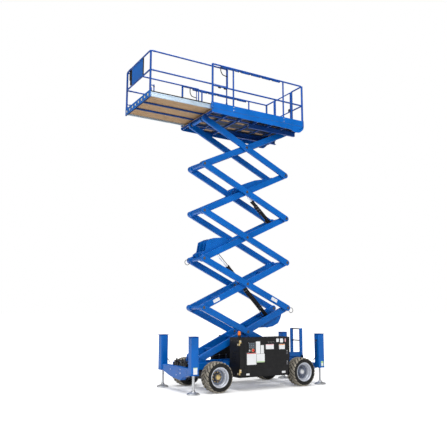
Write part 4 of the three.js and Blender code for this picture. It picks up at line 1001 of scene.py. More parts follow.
def label(shape, x0, x1, z0, z1, side, strip=None, low_strip=None, base=None):
    y = side * COVER_OUT
    shape.box(x0, x1, y - side * 1, y + side * 1.2, z0, z1, base or LABEL, 0.4)
    if strip:
        shape.box(x0 + 2, x1 - 2, y + side, y + side * 1.8, z1 - 18, z1 - 3, strip, 0.2)
    if low_strip:
        shape.box(x0 + 2, x1 - 2, y + side, y + side * 1.8, z0 + 3, z0 + 24, low_strip, 0.2)


def cover_door(side, name, body, labels):
    shape = Shape(f"{name}_door_panel")
    front = cover_front(side)
    hinge, seam = front - 12, front + 108
    inner, outer = side * (COVER_OUT - 25), side * COVER_OUT
    y0, y1 = sorted((inner, outer))
    shape.prism([(seam + 3, SKIRT_Z), (705, SKIRT_Z), (COVER_REAR, 700), (COVER_REAR, COVER_TOP),
                 (seam + 3, COVER_TOP)],
                y0, y1, BLACK, bevel=5, segments=3)
    shape.prism([(front + 3, SKIRT_Z), (seam - 2, SKIRT_Z), (seam - 2, COVER_TOP), (front + 3, COVER_TOP)],
                y0, y1, BLACK,
                bevel=5, segments=3)
    skirt = [(inner, 300), (side * (COVER_OUT - 19), 298), (side * (COVER_OUT - 0.5), SKIRT_Z + 1),
             (inner, SKIRT_Z + 1)]
    shape.prism(skirt, seam + 3, 690, BLACK, "x", 3)
    shape.prism(skirt, front + 3, seam - 2, BLACK, "x", 3)
    shape.box(seam - 13, seam + 12, side * (COVER_OUT - 24), side * (COVER_OUT - 9), 302, COVER_TOP - 6,
              BLACK, 1)
    shape.box(front + 4, front + 205, side * (COVER_OUT - 24), side * (COVER_OUT - 4), COVER_LOW + 1, 302,
              BLACK, 4)
    for z in HINGE_HEIGHTS:
        shape.rod((hinge, side * HINGE_Y, z - 15), (hinge, side * HINGE_Y, z + 58), 10, BRASS, 20, 1.5)
        shape.box(hinge, front + 30, side * (COVER_OUT - 1), side * (HINGE_Y + 3.5), z - 14, z + 57, BRASS,
                  2.5)
        shape.bolt((front + 16, side * (HINGE_Y + 3), z + 36), (0, side, 0), 8, ZINC, 4)
    for x in (-400, 0, 400)[side > 0:]:
        shape.box(x - 25, x + 25, side * (COVER_OUT - 26), side * (COVER_OUT - 24.5), 480, 1100, BLACK, 0.6)
    for x, z in ((655, 560), (655, 800)):
        paddle_latch(shape, x, z, side)
    # Three black vent hoods; the bright zinc strip along each hood's lower lip is a painted highlight.
    for i in range(3):
        x = 132 + 70 * i
        shape.prism([(x - 24, 1040), (x + 24, 1040), (x + 18, 1066), (x - 18, 1066)],
                    *sorted((side * (COVER_OUT - 3), side * (COVER_OUT + 6))),
                    BLACK, bevel=3)
        shape.box(x - 20, x + 20, side * COVER_OUT, side * (COVER_OUT + 6.5), 1037, 1041, ZINC, 0.8)
    for args in labels:
        label(shape, *args[:4], side, *args[4:])
    shape.finish(body, (f"{name}_door",))


def ground_controls():
    shape = Shape("ground_control_panel")
    face = -COVER_OUT - 14
    shape.box(-418, -232, face, -COVER_OUT - 0.5, 816, 1046, PLASTIC, 5, 3)
    shape.box(-408, -242, face - 1.2, face + 2, 908, 1036, STEEL, 1)
    for row in range(3):
        for column in range(3):
            x, z = -386 + 52 * column, 932 + 40 * row
            shape.box(x - 16, x + 16, face - 2.2, face - 1, z - 11, z + 11, SCREEN, 0.5)
    for x in (-334, -282):
        shape.rod((x, face - 1, 972), (x, face - 14, 976), 5, ZINC, 14, 1.5, 3.5)
    shape.rod((-388, face, 868), (-388, face - 3, 868), 20, ZINC, 28, 1)
    shape.box(-391, -385, face - 7, face - 2, 858, 878, STEEL, 1)
    shape.lathe([(38, 0), (38, 2), (22, 3), (20, 7), (30, 8), (33, 10), (31, 12.5), (18, 14), (0, 14.2)],
                (-295, face + 5.5, 868),
                (0, -1, 0), RED, 40)
    shape.rod((-295, face + 1, 868), (-295, face - 1.5, 868), 37, CREAM, 40, 0.5)
    for x in (-410, -240):
        for z in (824, 1038):
            shape.bolt((x, face + 1, z), (0, -1, 0), 4, ZINC, 4)
    shape.finish("engine_door", ("ground_control_box",))


def beacon():
    shape = Shape("amber_beacon")
    x, y, z = COVER_FRONT + 60, -735, COVER_TOP + 0.4
    shape.lathe([(0, 0), (40, 0), (40, 8), (35, 12), (34, 46), (37, 52), (36, 57), (0, 57)], (x, y, z),
                (0, 0, 1), PLASTIC, 40)
    profile = [(34, 56)]
    for i in range(6):
        profile += [(34.5 - 0.3 * i, 60 + 11 * i), (33 - 0.3 * i, 64 + 11 * i)]
    shape.lathe(profile + [(31, 126), (25, 138), (12, 145), (0, 145.8)], (x, y, z), (0, 0, 1), AMBER, 40)
    shape.finish("chassis", ("beacon",))


def engine():
    shape = Shape("engine_and_pump")
    low = COVER_LOW + 13
    shape.box(-400, -20, -780, -560, low + 60, low + 330, IRON, 12, 3)
    shape.box(-390, -40, -740, -600, low + 325, low + 430, IRON, 14, 3)
    for i in range(4):
        shape.rod((-350 + 85 * i, -670, low + 425), (-350 + 85 * i, -670, low + 470), 24, STEEL, 24, 4)
    shape.box(-408, -398, -770, -570, low + 90, low + 320, STEEL, 2)
    shape.rod((-418, -670, low + 200), (-398, -670, low + 200), 90, BLACK, 36, 3)
    shape.box(-410, 170, -790, -740, low + 1, low + 45, IRON, 6)
    shape.box(-410, 170, -600, -530, low + 1, low + 45, IRON, 6)
    for x in (-330, -90, 120):
        shape.box(x - 25, x + 25, -790, -530, low + 20, low + 66, IRON, 5)
    shape.rod((-20, -670, low + 190), (90, -670, low + 190), 82, STEEL, 32, 6)
    shape.box(85, 172, -740, -600, low + 130, low + 260, IRON, 10)
    shape.rod((20, -620, low + 400), (170, -620, low + 400), 62, HOSE, 32, 8)
    shape.rod((-60, -775, low + 300), (-60, -775, low + 380), 36, ORANGE, 28, 5)
    shape.pipe([(130, -700, low + 255), (130, -700, low + 350), (40, -760, low + 420),
                (-150, -770, low + 440)], 11, HOSE, 60)
    shape.pipe([(150, -650, low + 255), (150, -650, low + 310), (60, -560, low + 330),
                (-200, -545, low + 350)], 11, HOSE, 60)
    shape.finish("chassis", ("engine_block",))


def hydraulic_tank():
    shape = Shape("hydraulic_oil_tank")
    low = COVER_LOW + 13
    shape.box(-118, 300, 522, 793, low, low + 470, IRON, 14, 3)
    for x in (-20, 120, 240):
        shape.box(x - 12, x + 12, 790, 794.5, low + 40, low + 430, STEEL, 1.5)
    shape.rod((-40, 640, low + 468), (-40, 640, low + 505), 34, ZINC, 32, 3)
    shape.rod((120, 640, low + 468), (120, 640, low + 518), 46, BLACK, 32, 4)
    shape.box(325, 478, 560, 780, low + 20, low + 220, PLASTIC, 8)
    for x in (355, 445):
        shape.rod((x, 740, low + 218), (x, 740, low + 240), 12, RED if x < 400 else HOSE, 16, 2)
    shape.box(330, 474, 540, 700, low + 250, low + 400, STEEL, 8)
    for i in range(4):
        shape.rod((346 + 36 * i, 705, low + 360), (346 + 36 * i, 745, low + 360), 13, ZINC, 6, 1)
    shape.box(298, 478, 545, 560, low + 1, low + 420, STEEL, 3)
    for i in range(3):
        shape.pipe([(350 + 42 * i, 620, low + 398), (350 + 42 * i, 620, low + 450 + 18 * i),
                    (240, 600 + 30 * i, low + 480), (200 - 30 * i, 590 + 30 * i, low + 470)], 9, HOSE, 45)
    shape.finish("chassis", ("hydraulic_tank",))


def hose_bank_and_shade_plate():
    """The hose bank between the front wheels and the hydraulic cover, in front of a black plate that is
    painted shade for the dark opening.
    """
    shape = Shape("hose_bank_and_shade_plate")
    # This black plate stands in for the dark opening behind the arms: painted shade.
    shape.prism([(-640, 500), (-190, 500), (-190, 860), (-330, 860), (-640, 730)], 430, 436, BLACK, "y", 2)
    for z in (520, 575, 630):
        shape.pipe([(-650, 418, z + 20), (-560, 416, z + 45), (-330, 416, z + 70), (-170, 420, z + 70)], 11,
                   HOSE, 60)
    for x in (-600, -420, -230):
        shape.box(x - 14, x + 14, 402, 432, 520, 720, STEEL, 3)
        shape.bolt((x, 402, 705), (0, -1, 0), 8, ZINC, 5)
    shape.finish("chassis")


NEAR_LABELS = ((-451, -200, 556, 812, RED), (-210, -94, 790, 1058), (-82, 6, 790, 974),
               (-192, 26, 599, 785, None, GREEN),
               (61, 282, 880, 989, PINK), (431, 595, 870, 983, ORANGE), (354, 426, 1033, 1111),
               (459, 546, 1021, 1109),
               (596, 622, 1030, 1105, None, None, PINK), (-470, -384, 333, 376), (502, 603, 337, 382))
FAR_LABELS = ((-40, 120, 600, 800, RED), (160, 290, 820, 960), (330, 480, 860, 980, ORANGE),
              (502, 603, 337, 382))
cover_shell(-1, "engine")
cover_shell(1, "hydraulic")
cover_door(-1, "engine", "engine_door", NEAR_LABELS)
cover_door(1, "hydraulic", "hydraulic_door", FAR_LABELS)
ground_controls()
beacon()
engine()
hydraulic_tank()
hose_bank_and_shade_plate()


# ---------------------------------------------------------------- ladder
LADDER_X, LADDER_HALF, LADDER_TOP = 1600, 200, 1310


def ladder():
    shape = Shape("boarding_ladder")
    x = LADDER_X
    for side in SIDES:
        outer, inner = side * LADDER_HALF, side * (LADDER_HALF - 30)
        shape.box(x - 44, x + 44, inner, outer, FRAME_HIGH + 0.5, LADDER_TOP, BLUE, 6, 3)
        shape.box(x - 60, x + 58, side * (LADDER_HALF - 34), outer, FRAME_HIGH + 0.5, FRAME_HIGH + 60, BLUE,
                  4)
        for z in (700, 1010, LADDER_TOP - 15):
            shape.rod((x, outer - side * 2, z), (x, outer + side * -0.4, z), 18, BLUE, 24, 1)
    for z in (700, 1010, LADDER_TOP - 15):
        shape.cross(x, z, -LADDER_HALF + 28, LADDER_HALF - 28, 12.8, PLASTIC, 24, 1)
        for i in range(13):
            y = -150 + 25 * i
            shape.cross(x, z, y - 4, y + 4, 13.3, PLASTIC, 20, 0.5)
    shape.box(x - 110, x + 60, -LADDER_HALF, LADDER_HALF, FRAME_HIGH + 0.5, FRAME_HIGH + 34, BLUE, 4)
    shape.box(x - 104, x + 54, -LADDER_HALF + 36, LADDER_HALF - 36, FRAME_HIGH + 33, FRAME_HIGH + 39.5, DECK,
              1.5)
    for y in (-120, 120):
        shape.bolt((x - 85, y, FRAME_HIGH + 34), (0, 0, 1), 8, ZINC, 5.5)
    shape.finish("chassis", ("ladder",))


ladder()

# ---------------------------------------------------------------- main platform
RAIL_Y = PLAT_Y - 22
RAIL_TOP, RAIL_MID = DECK_TOP + 1080, DECK_TOP + 560
POST_FRONT, POST_REAR = PLAT_FRONT + 22, PLAT_REAR - 22
GATE_LOW, GATE_HIGH = -310, 360
GATE_POSTS = (GATE_LOW - 45, GATE_HIGH + 45)


def smooth_outline(points, bend):
    """Corners of an outline in x and z, each rounded by the given distance."""
    result = []
    count = len(points)
    for i, (point, reach) in enumerate(zip(points, bend)):
        corner = Vector(point)
        if not reach:
            result.append(tuple(corner))
            continue
        before = (Vector(points[i - 1]) - corner).normalized() * reach + corner
        after = (Vector(points[(i + 1) % count]) - corner).normalized() * reach + corner
        for k in range(7):
            t = k / 6
            result.append(tuple(before.lerp(corner, t).lerp(corner.lerp(after, t), t)))
    return result


def platform_band(name, side):
    shape = Shape(f"{name}_side_band")
    low = TOP_PIN_Z
    outline = smooth_outline([
        (PLAT_FRONT, low + 20), (PLAT_FRONT + 60, low), (PLAT_REAR - 420, low - 30),
        (PLAT_REAR - 300, low - 80), (PLAT_REAR - 130, low - 80), (PLAT_REAR, low + 40),
        (PLAT_REAR, DECK_BOTTOM - 0.5), (PLAT_FRONT, DECK_BOTTOM - 0.5),
    ], (10, 10, 60, 55, 60, 50, 0, 0))
    y0, y1 = sorted((side * (PLAT_Y - 11.5), side * (PLAT_Y - 0.3)))
    shape.prism(outline, y0, y1, BLUE, bevel=2)
    inner = side * (PLAT_Y - 12)
    for x in range(-1180, 1300, 310):
        shape.bolt((x, side * (PLAT_Y - 3), low + 62), (0, side, 0), 7, BLUE, 3)
    # The inside strip under the deck edge is in the darker blue of painted shade.
    shape.box(PLAT_FRONT + 40, PLAT_REAR - 60, inner, side * (PLAT_Y - 30), DECK_BOTTOM - 10, DECK_BOTTOM - 1,
              SHADE_AND_DUST_BLUE, 1)
    shape.finish("platform", (f"{name}_platform_band",))


def underside_shade_sheet(shape):
    """The steel pan under the floor, with a window onto the plywood in every bay and row; its near-black
    colour is painted shade.
    """
    low, high = TOP_PIN_Z + 80, TOP_PIN_Z + 82
    members = (PLAT_FRONT + 35, -850, -420, 20, 440, 850, PLAT_REAR - 45)
    rows = ((436, 575, 675, 784), (-373, -265, -155, 0), (0, 155, 265, 373), (-784, -675, -575, -436))
    for x0, x1 in zip(members, members[1:]):
        start, end, middle = x0 + 29, x1, (x0 + 29 + x1) / 2
        for y0, window_low, window_high, y1 in rows:
            shape.box(start, end, y0, window_low, low, high, UNDERSIDE_SHADE_AND_DUST, 0.4)
            shape.box(start, end, window_high, y1, low, high, UNDERSIDE_SHADE_AND_DUST, 0.4)
            shape.box(start, middle - 115, window_low, window_high, low, high, UNDERSIDE_SHADE_AND_DUST, 0.4)
            shape.box(middle + 115, end, window_low, window_high, low, high, UNDERSIDE_SHADE_AND_DUST, 0.4)


def platform_frame():
    shape = Shape("platform_underframe")
    # The underframe members are in the darker blue of painted shade.
    top = DECK_BOTTOM - 0.5
    for side in SIDES:
        inner, outer = side * CHANNEL_IN, side * CHANNEL_OUT
        for z0, z1 in ((-54, -46), (46, 54)):
            shape.box(-75, PLAT_REAR - 3, inner, outer, TOP_PIN_Z + z0, TOP_PIN_Z + z1, SHADE_AND_DUST_BLUE, 1.5)
        shape.box(-75, PLAT_REAR - 3, side * (CHANNEL_OUT - 8), outer, TOP_PIN_Z - 50, TOP_PIN_Z + 50,
                  SHADE_AND_DUST_BLUE, 1.5)
        shape.box(PLAT_FRONT + 36, PLAT_REAR - 20, side * (CHANNEL_IN + 3), side * (CHANNEL_IN + 41),
                  TOP_PIN_Z + 50, top, SHADE_AND_DUST_BLUE, 3)
        near, far = side * (OUTER_Y + OUTER_W + 8), side * (OUTER_Y + OUTER_W + 34)
        shape.prism([(BASE_X - 50, TOP_PIN_Z - 20), (BASE_X - 24, TOP_PIN_Z - 54),
                     (BASE_X + 34, TOP_PIN_Z - 54),
                     (BASE_X + 69, TOP_PIN_Z - 10), (BASE_X + 69, top), (BASE_X - 50, top)],
                    *sorted((near, far)), SHADE_AND_DUST_BLUE, bevel=3)
        shape.cross(BASE_X, TOP_PIN_Z, far, side * (OUTER_Y + OUTER_W + 38), 44, SHADE_AND_DUST_BLUE, 28, 1.5)
    for x in (-850, -420):
        shape.box(x, x + 30, -784, 784, TOP_PIN_Z + 50, top, SHADE_AND_DUST_BLUE, 2)
    for x in (PLAT_FRONT + 35, 20, 440, 850, PLAT_REAR - 45):
        shape.box(x, x + 29, -784, 784, TOP_PIN_Z + 78, top, SHADE_AND_DUST_BLUE, 2)
        shape.box(x + 1, x + 28, -164, 164, TOP_PIN_Z + 50, top, SHADE_AND_DUST_BLUE, 2)
    for x in (PLAT_FRONT + 35, -850, -420, 20, 440, 850, PLAT_REAR - 45):
        for side in SIDES:
            shape.prism([(side * (CHANNEL_OUT - 1), TOP_PIN_Z + 30), (side * 690, TOP_PIN_Z + 23),
                         (side * 784, TOP_PIN_Z + 23), (side * 784, top), (side * (CHANNEL_OUT - 1), top)],
                        x + 1, x + 29, SHADE_AND_DUST_BLUE, axis="x", bevel=2)
            for y in (500, 640, 740):
                shape.bolt((x + 15, side * y, TOP_PIN_Z + (24 if y > 690 else 28)), (0, 0, -1), 7, ZINC, 4)
    underside_shade_sheet(shape)
    for y in (-560, -120, 120, 560):
        shape.box(PLAT_FRONT + 60, PLAT_REAR - 50, y - 13, y + 13, TOP_PIN_Z + 79, top, SHADE_AND_DUST_BLUE, 1)
    shape.finish("platform", ("platform_frame",))


def platform_deck():
    shape = Shape("platform_floor")
    front = PLAT_FRONT + 34.5
    shape.box(front, PLAT_REAR - 0.5, -PLAT_Y + 12, PLAT_Y - 12, DECK_BOTTOM + 0.2, DECK_TOP - 4, PLY, 0.5)
    shape.box(front, PLAT_REAR - 0.5, -PLAT_Y + 0.5, PLAT_Y - 0.5, DECK_TOP - 4.2, DECK_TOP - 1, DECK, 0.5)
    for side in SIDES:
        shape.box(front, PLAT_REAR - 0.5, side * (PLAT_Y - 12.5), side * (PLAT_Y - 0.5), DECK_BOTTOM + 0.2,
                  DECK_TOP - 3, BLUE, 1)
        shape.box(front, PLAT_REAR - 1, side * (PLAT_Y - 52), side * (PLAT_Y - 14), DECK_TOP - 1.5,
                  DECK_TOP - 0.2,
                  ALLOY, 0.4)
    for x in range(-1100, 1300, 340):
        for side in SIDES:
            for y in (240, 520, 760):
                shape.rod((x, side * y, DECK_TOP - 1.2), (x, side * y, DECK_TOP - 0.2), 8, ZINC, 16, 0.3)
    shape.finish("platform", ("platform_deck",))


def padding(shape, stations, y, z, radius=19):
    """Hoses bundled under a rail in sleeves, each sleeve strapped to the rail at its ends."""
    shape.pipe([(stations[0] + 20, y, z + 4), (stations[-1] - 20, y, z + 4)], 8, HOSE, 0, 12)
    for first, last in zip(stations, stations[1:]):
        length = last - first - 34
        count = max(6, int(length / 34))
        rings = []
        for k in range(count + 1):
            t = k / count
            swell = 1 - 0.30 * abs(2 * t - 1) ** 6 + 0.05 * math.sin(k * 2.4 + first)
            rings.append((radius * swell, 17 + t * length))
        profile = [(0.5, rings[0][1] - 4)] + rings + [(0.5, rings[-1][1] + 4)]
        shape.lathe(profile, (first, y, z), (1, 0, 0), RAIL_BLUE, 18)
        for at in (first + 40, last - 40):
            shape.rod((at - 5, y, z), (at + 5, y, z), radius + 1.2, HOSE, 18, 0.5)


def rail_sleeve(shape, x, y, z, radius, material=None):
    shape.rod((x - 26, y, z), (x + 26, y, z), radius, material or RAIL_BLUE, 20, 2)


def platform_rails():
    shape = Shape("platform_guard_rails")
    bottom = DECK_TOP + 0.5
    for side in SIDES:
        y = side * RAIL_Y
        turn_in = GATE_POSTS[1] if side > 0 else GATE_POSTS[0]
        for z in (RAIL_TOP, RAIL_MID):
            shape.pipe([(POST_FRONT, y, z), (POST_REAR, y, z), (POST_REAR, turn_in, z)], 19.5, RAIL_BLUE, 60,
                       18)
        for x, radius in ((POST_FRONT, 24), (-737, 19.5), (728, 19.5), (POST_REAR, 25.5)):
            shape.rod((x, y, bottom), (x, y, RAIL_TOP + (4 if x == POST_FRONT else 0)), radius, RAIL_BLUE, 22,
                      3)
            shape.box(x - radius - 5, x + radius + 5, y - 20, y + 20, bottom, DECK_TOP + 148, BLUE, 3)
            for z in (DECK_TOP + 40, DECK_TOP + 115):
                shape.bolt((x, side * (PLAT_Y - 1.5), z), (0, side, 0), 9, ZINC, 1)
            shape.rod((x, y, DECK_TOP + 148), (x, y, DECK_TOP + 168), radius + 3, RAIL_BLUE, 22, 2)
        for x in (-737, 728):
            for z in (RAIL_TOP, RAIL_MID):
                rail_sleeve(shape, x, y, z, 20)
        rail_sleeve(shape, POST_FRONT + 40, y, RAIL_TOP, 20)
        shape.box(PLAT_FRONT + 1, PLAT_REAR - 1, side * (PLAT_Y - 11.5), side * (PLAT_Y - 0.5), bottom,
                  DECK_TOP + 149.5, BLUE, 2.5)
        shape.box(PLAT_FRONT + 1, PLAT_REAR - 1, side * (PLAT_Y - 20), side * (PLAT_Y - 1), DECK_TOP + 142,
                  DECK_TOP + 149.8, BLUE, 2.5)
        # a thin stay between the two rails, where the hoses come down
        shape.rod((-897, y, RAIL_MID), (-897, y, RAIL_TOP), 11, RAIL_BLUE, 16, 1)
        shape.pipe([(-1085, y, RAIL_TOP - 26), (-1085, y, RAIL_TOP - 130), (-1040, y, RAIL_TOP - 215),
                    (-905, y - side * 4, RAIL_TOP - 235)], 11, HOSE, 70, 12)
        for x in (-1119, -969):
            shape.rod((x - 34, y, RAIL_MID - 30), (x + 34, y, RAIL_MID - 30), 15, HOSE, 16, 6)
            shape.rod((x, y, RAIL_MID - 40), (x, y, RAIL_MID - 8), 10, HOSE, 12, 2)
        stations = (-1085, -897, -720, -555, -250, 62, 363, 646) if side < 0 else (-1030, -824, -564, -287,
                                                                                   14, 322, 655)
        padding(shape, stations, y, RAIL_TOP - 34)
    for y in GATE_POSTS:
        shape.rod((POST_REAR, y, bottom), (POST_REAR, y, RAIL_TOP), 25.5, RAIL_BLUE, 24, 3)
        shape.box(POST_REAR - 30, POST_REAR + 20, y - 30, y + 30, bottom, DECK_TOP + 60, BLUE, 4)
    for y0, y1 in ((-PLAT_Y + 1, GATE_LOW - 20), (GATE_HIGH + 20, PLAT_Y - 1)):
        shape.box(PLAT_REAR - 12, PLAT_REAR - 0.5, y0, y1, bottom, DECK_TOP + 149.5, BLUE, 2.5)
    shape.box(PLAT_REAR - 12, PLAT_REAR - 0.5, GATE_LOW - 25, GATE_HIGH + 25, bottom, DECK_TOP + 29, BLUE, 2)
    gate_bottom, gate_top = DECK_TOP + 170, DECK_TOP + 1090
    for z0, z1 in ((gate_bottom - 11, gate_bottom - 0.5), (gate_top + 0.5, DECK_TOP + 1099)):
        shape.box(POST_REAR - 13, POST_REAR + 13, GATE_HIGH - 13, GATE_HIGH + 60, z0, z1, BLUE, 2)
    # the keeper of the gate latch
    shape.box(POST_REAR - 16, POST_REAR + 16, GATE_LOW - 30, GATE_LOW + 2, RAIL_MID - 6, RAIL_MID + 40, HOSE,
              3)
    shape.finish("platform", ("platform_rails",))


def entry_gate():
    shape = Shape("entry_gate_frame")
    x = PLAT_REAR - 22
    low, high = DECK_TOP + 170, DECK_TOP + 1090
    latch, hinge = GATE_LOW + 12, GATE_HIGH
    points = [(x, latch, low + 15.5), (x, hinge, low + 15.5), (x, hinge, high - 15.5),
              (x, latch, high - 15.5)]
    for a, b in zip(points, points[1:] + points[:1]):
        shape.rod(a, b, 15, RAIL_BLUE, 20, 2)
    for y in (latch, hinge):
        for z in (low + 15.5, high - 15.5):
            shape.lathe([(0.5, -15.4), (11, -12), (15.3, 0), (11, 12), (0.5, 15.4)], (x, y, z), (0, 0, 1),
                        RAIL_BLUE, 20)
    shape.rod((x, latch, DECK_TOP + 560), (x, hinge, DECK_TOP + 560), 15, RAIL_BLUE, 20, 2)
    shape.rod((x, 20, low + 15), (x, 20, high - 15), 10, ALLOY, 18, 1)
    shape.box(x - 15.5, x + 15.5, latch + 1, latch + 80, DECK_TOP + 562, DECK_TOP + 640, HOSE, 5)
    shape.rod((x - 13, latch + 40, DECK_TOP + 610), (x + 13, latch + 40, DECK_TOP + 610), 12, STEEL, 18, 2)
    shape.finish("entry_gate", ("entry_gate",))


platform_band("left", -1)
platform_band("right", 1)
platform_frame()
platform_deck()
platform_rails()
entry_gate()

# ---------------------------------------------------------------- platform extension
EXT_RAIL_Y = EXT_Y - 19
EXT_RAIL_X = EXT_FRONT + 15
EXT_RAIL_REAR = EXT_REAR - 20
EXT_RAIL_TOP, EXT_RAIL_MID = EXT_FLOOR + 1005, EXT_FLOOR + 560


def extension_frame():
    shape = Shape("extension_chassis")
    low = EXT_BOTTOM
    floor_low = EXT_BOTTOM + 38
    for side in SIDES:
        inner, outer = side * (EXT_Y - 30), side * EXT_Y
        face = side * (EXT_Y - 6)
        shape.box(EXT_FRONT + 30.5, EXT_REAR - 0.5, inner, face, low, EXT_CHANNEL_TOP - 28, CHANNEL_ALLOY,
                  1.5)
        shape.box(EXT_FRONT + 30.5, EXT_REAR - 0.5, face - side, outer - side * 0.3, low, low + 26,
                  CHANNEL_ALLOY, 3)
        shape.box(EXT_FRONT + 30.5, EXT_REAR - 0.5, face - side, outer - side * 0.3, EXT_CHANNEL_TOP - 52,
                  EXT_CHANNEL_TOP - 28, CHANNEL_ALLOY, 3)
        shape.box(EXT_FRONT + 30.5, EXT_REAR - 0.5, inner, outer - side * 0.3, EXT_CHANNEL_TOP - 29,
                  EXT_CHANNEL_TOP - 0.5, PLASTIC, 3)
        for x in range(int(EXT_FRONT) + 160, int(EXT_REAR), 290):
            shape.bolt((x, face, (low + EXT_CHANNEL_TOP) / 2 - 8), (0, side, 0), 8, ZINC, 4)
        shape.box(EXT_REAR - 119, EXT_REAR - 0.5, inner, outer - side * 0.5, DECK_TOP + 0.5, low + 2, PLASTIC,
                  1)
        shape.box(EXT_REAR - 40, EXT_REAR - 0.5, face - side, outer - side * 0.4, low + 20,
                  EXT_CHANNEL_TOP - 40,
                  PLASTIC, 3)
    # The long and cross members under the floor are in the darker blue of painted shade.
    for y in (-230, 230):
        shape.box(EXT_FRONT + 31, EXT_REAR - 1, y - 21, y + 21, low + 0.5, floor_low, SHADE_AND_DUST_BLUE, 3)
        shape.box(EXT_FRONT + 31, EXT_REAR - 1, y - 12, y + 12, low + 0.1, low + 4, IRON, 1)
    for x in (EXT_FRONT + 31, EXT_REAR - 30):
        shape.box(x, x + 29, -EXT_Y + 6, EXT_Y - 6, low + 0.5, floor_low, SHADE_AND_DUST_BLUE, 3)
    shape.finish("extension", ("extension_frame",))


def extension_deck():
    shape = Shape("extension_floor")
    half = EXT_Y - 31
    low = EXT_BOTTOM + 38.6
    front, rear = EXT_FRONT + 32, EXT_REAR - 0.5
    shape.box(front, rear, -half, half, low + 6, EXT_FLOOR - 3, PLY, 0.4)
    # the underside shows as boards between the long members
    edges = (-half, -460, -230, 0, 230, 460, half)
    for y0, y1 in zip(edges, edges[1:]):
        shape.box(front, rear, y0 + 4, y1 - 4, low, low + 7, PLY, 1)
    shape.box(front, rear, -half, half, EXT_FLOOR - 3.2, EXT_FLOOR - 0.5, DECK, 0.4)
    for x in range(int(front) + 90, int(rear) - 60, 380):
        for y in (-620, -350, -115, 115, 350, 620):
            shape.rod((x, y, EXT_FLOOR - 0.8), (x, y, EXT_FLOOR - 0.1), 8, ZINC, 16, 0.2)
            shape.bolt((x, y, low + 2), (0, 0, -1), 6, ZINC, 2.4)
    shape.finish("extension", ("extension_deck",))


def extension_rails():
    shape = Shape("extension_guard_rails")
    bottom = EXT_CHANNEL_TOP + 0.5
    y = EXT_RAIL_Y
    for z in (EXT_RAIL_TOP, EXT_RAIL_MID):
        shape.pipe([(EXT_RAIL_REAR, -y, z), (EXT_RAIL_X, -y, z), (EXT_RAIL_X, y, z), (EXT_RAIL_REAR, y, z)],
                   18.6, RAIL_BLUE, 50, 18)
    for side in SIDES:
        at = side * y
        shape.rod((EXT_RAIL_X + 8, at - side * 4, bottom), (EXT_RAIL_X + 8, at - side * 4, EXT_RAIL_TOP - 6),
                  23,
                  RAIL_BLUE, 24, 3)
        for z in (EXT_RAIL_TOP, EXT_RAIL_MID):
            shape.rod((EXT_RAIL_X + 60, at, z), (EXT_RAIL_X + 104, at, z), 21.5, RAIL_BLUE, 20, 2)
        shape.rod((EXT_RAIL_X + 95, at, bottom), (EXT_RAIL_X + 95, at, bottom + 150), 13.5, RAIL_BLUE, 20, 2)
        shape.rod((EXT_RAIL_X, at, bottom + 130), (EXT_RAIL_X + 95, at, bottom + 130), 11.5, RAIL_BLUE, 18, 1)
        shape.rod((EXT_RAIL_X + 95, at, bottom + 96), (EXT_RAIL_X + 95, at, bottom + 112), 18, HOSE, 18, 2)
        shape.rod((EXT_RAIL_REAR, at, bottom), (EXT_RAIL_REAR, at, EXT_RAIL_TOP), 15.6, RAIL_BLUE, 20, 2)
        shape.box(EXT_RAIL_REAR - 19, EXT_RAIL_REAR + 19, at - 15, at + 15, bottom, bottom + 90, RAIL_BLUE, 3)
        shape.box(EXT_RAIL_X - 12, EXT_RAIL_X + 40, at - 18.5, at + 18.5, bottom, bottom + 70, RAIL_BLUE, 3)
    low, high = TOP_PIN_Z + ARM_DEPTH / 2 + 8.5, EXT_CHANNEL_TOP + 9.5
    shape.box(EXT_FRONT + 1.5, EXT_FRONT + 28.5, -EXT_Y + 0.5, EXT_Y - 0.5, low, high, BLUE, 3)
    shape.box(EXT_FRONT + 0.2, EXT_FRONT + 28.5, -EXT_Y + 0.5, EXT_Y - 0.5, high - 12, high, BLUE, 3)
    shape.box(EXT_FRONT + 0.2, EXT_FRONT + 28.5, -EXT_Y + 0.5, EXT_Y - 0.5, low, low + 10, BLUE, 3)
    middle = (low + high) / 2
    for i in range(8):
        at = -EXT_Y + 95 + i * (2 * EXT_Y - 190) / 7
        shape.box(EXT_FRONT + 0.3, EXT_FRONT + 3, at - 26, at + 26, middle - 24, middle + 26, CREAM, 1)
    for at in (-650, -330, 0, 330, 650):
        shape.bolt((EXT_FRONT + 2, at, low + 30), (-1, 0, 0), 7, ZINC, 1.4)
    shape.finish("extension", ("extension_rails",))


def rail_panel():
    shape = Shape("front_rail_panel")
    low, high = EXT_RAIL_MID + 18, EXT_RAIL_TOP - 18
    shape.box(EXT_RAIL_X - 2, EXT_RAIL_X + 2, -328, 368, low, high, BLUE, 1)
    for z in (low + 7, high - 7):
        shape.box(EXT_RAIL_X - 3.8, EXT_RAIL_X + 3.8, -329, 369, z - 7, z + 7, BLUE, 2)
    for y, width, material in ((-300, 29, PLASTIC), (361, 8, BLUE)):
        shape.box(EXT_RAIL_X - 3.8, EXT_RAIL_X + 3.8, y - width, y + width, low, high, material, 2)
    for y in (-300, -80, 140, 340):
        for z in (low + 7, high - 7):
            shape.bolt((EXT_RAIL_X - 3.4, y, z), (-1, 0, 0), 6, ZINC, 0.5)
    shape.finish("extension", ("rail_panel",))


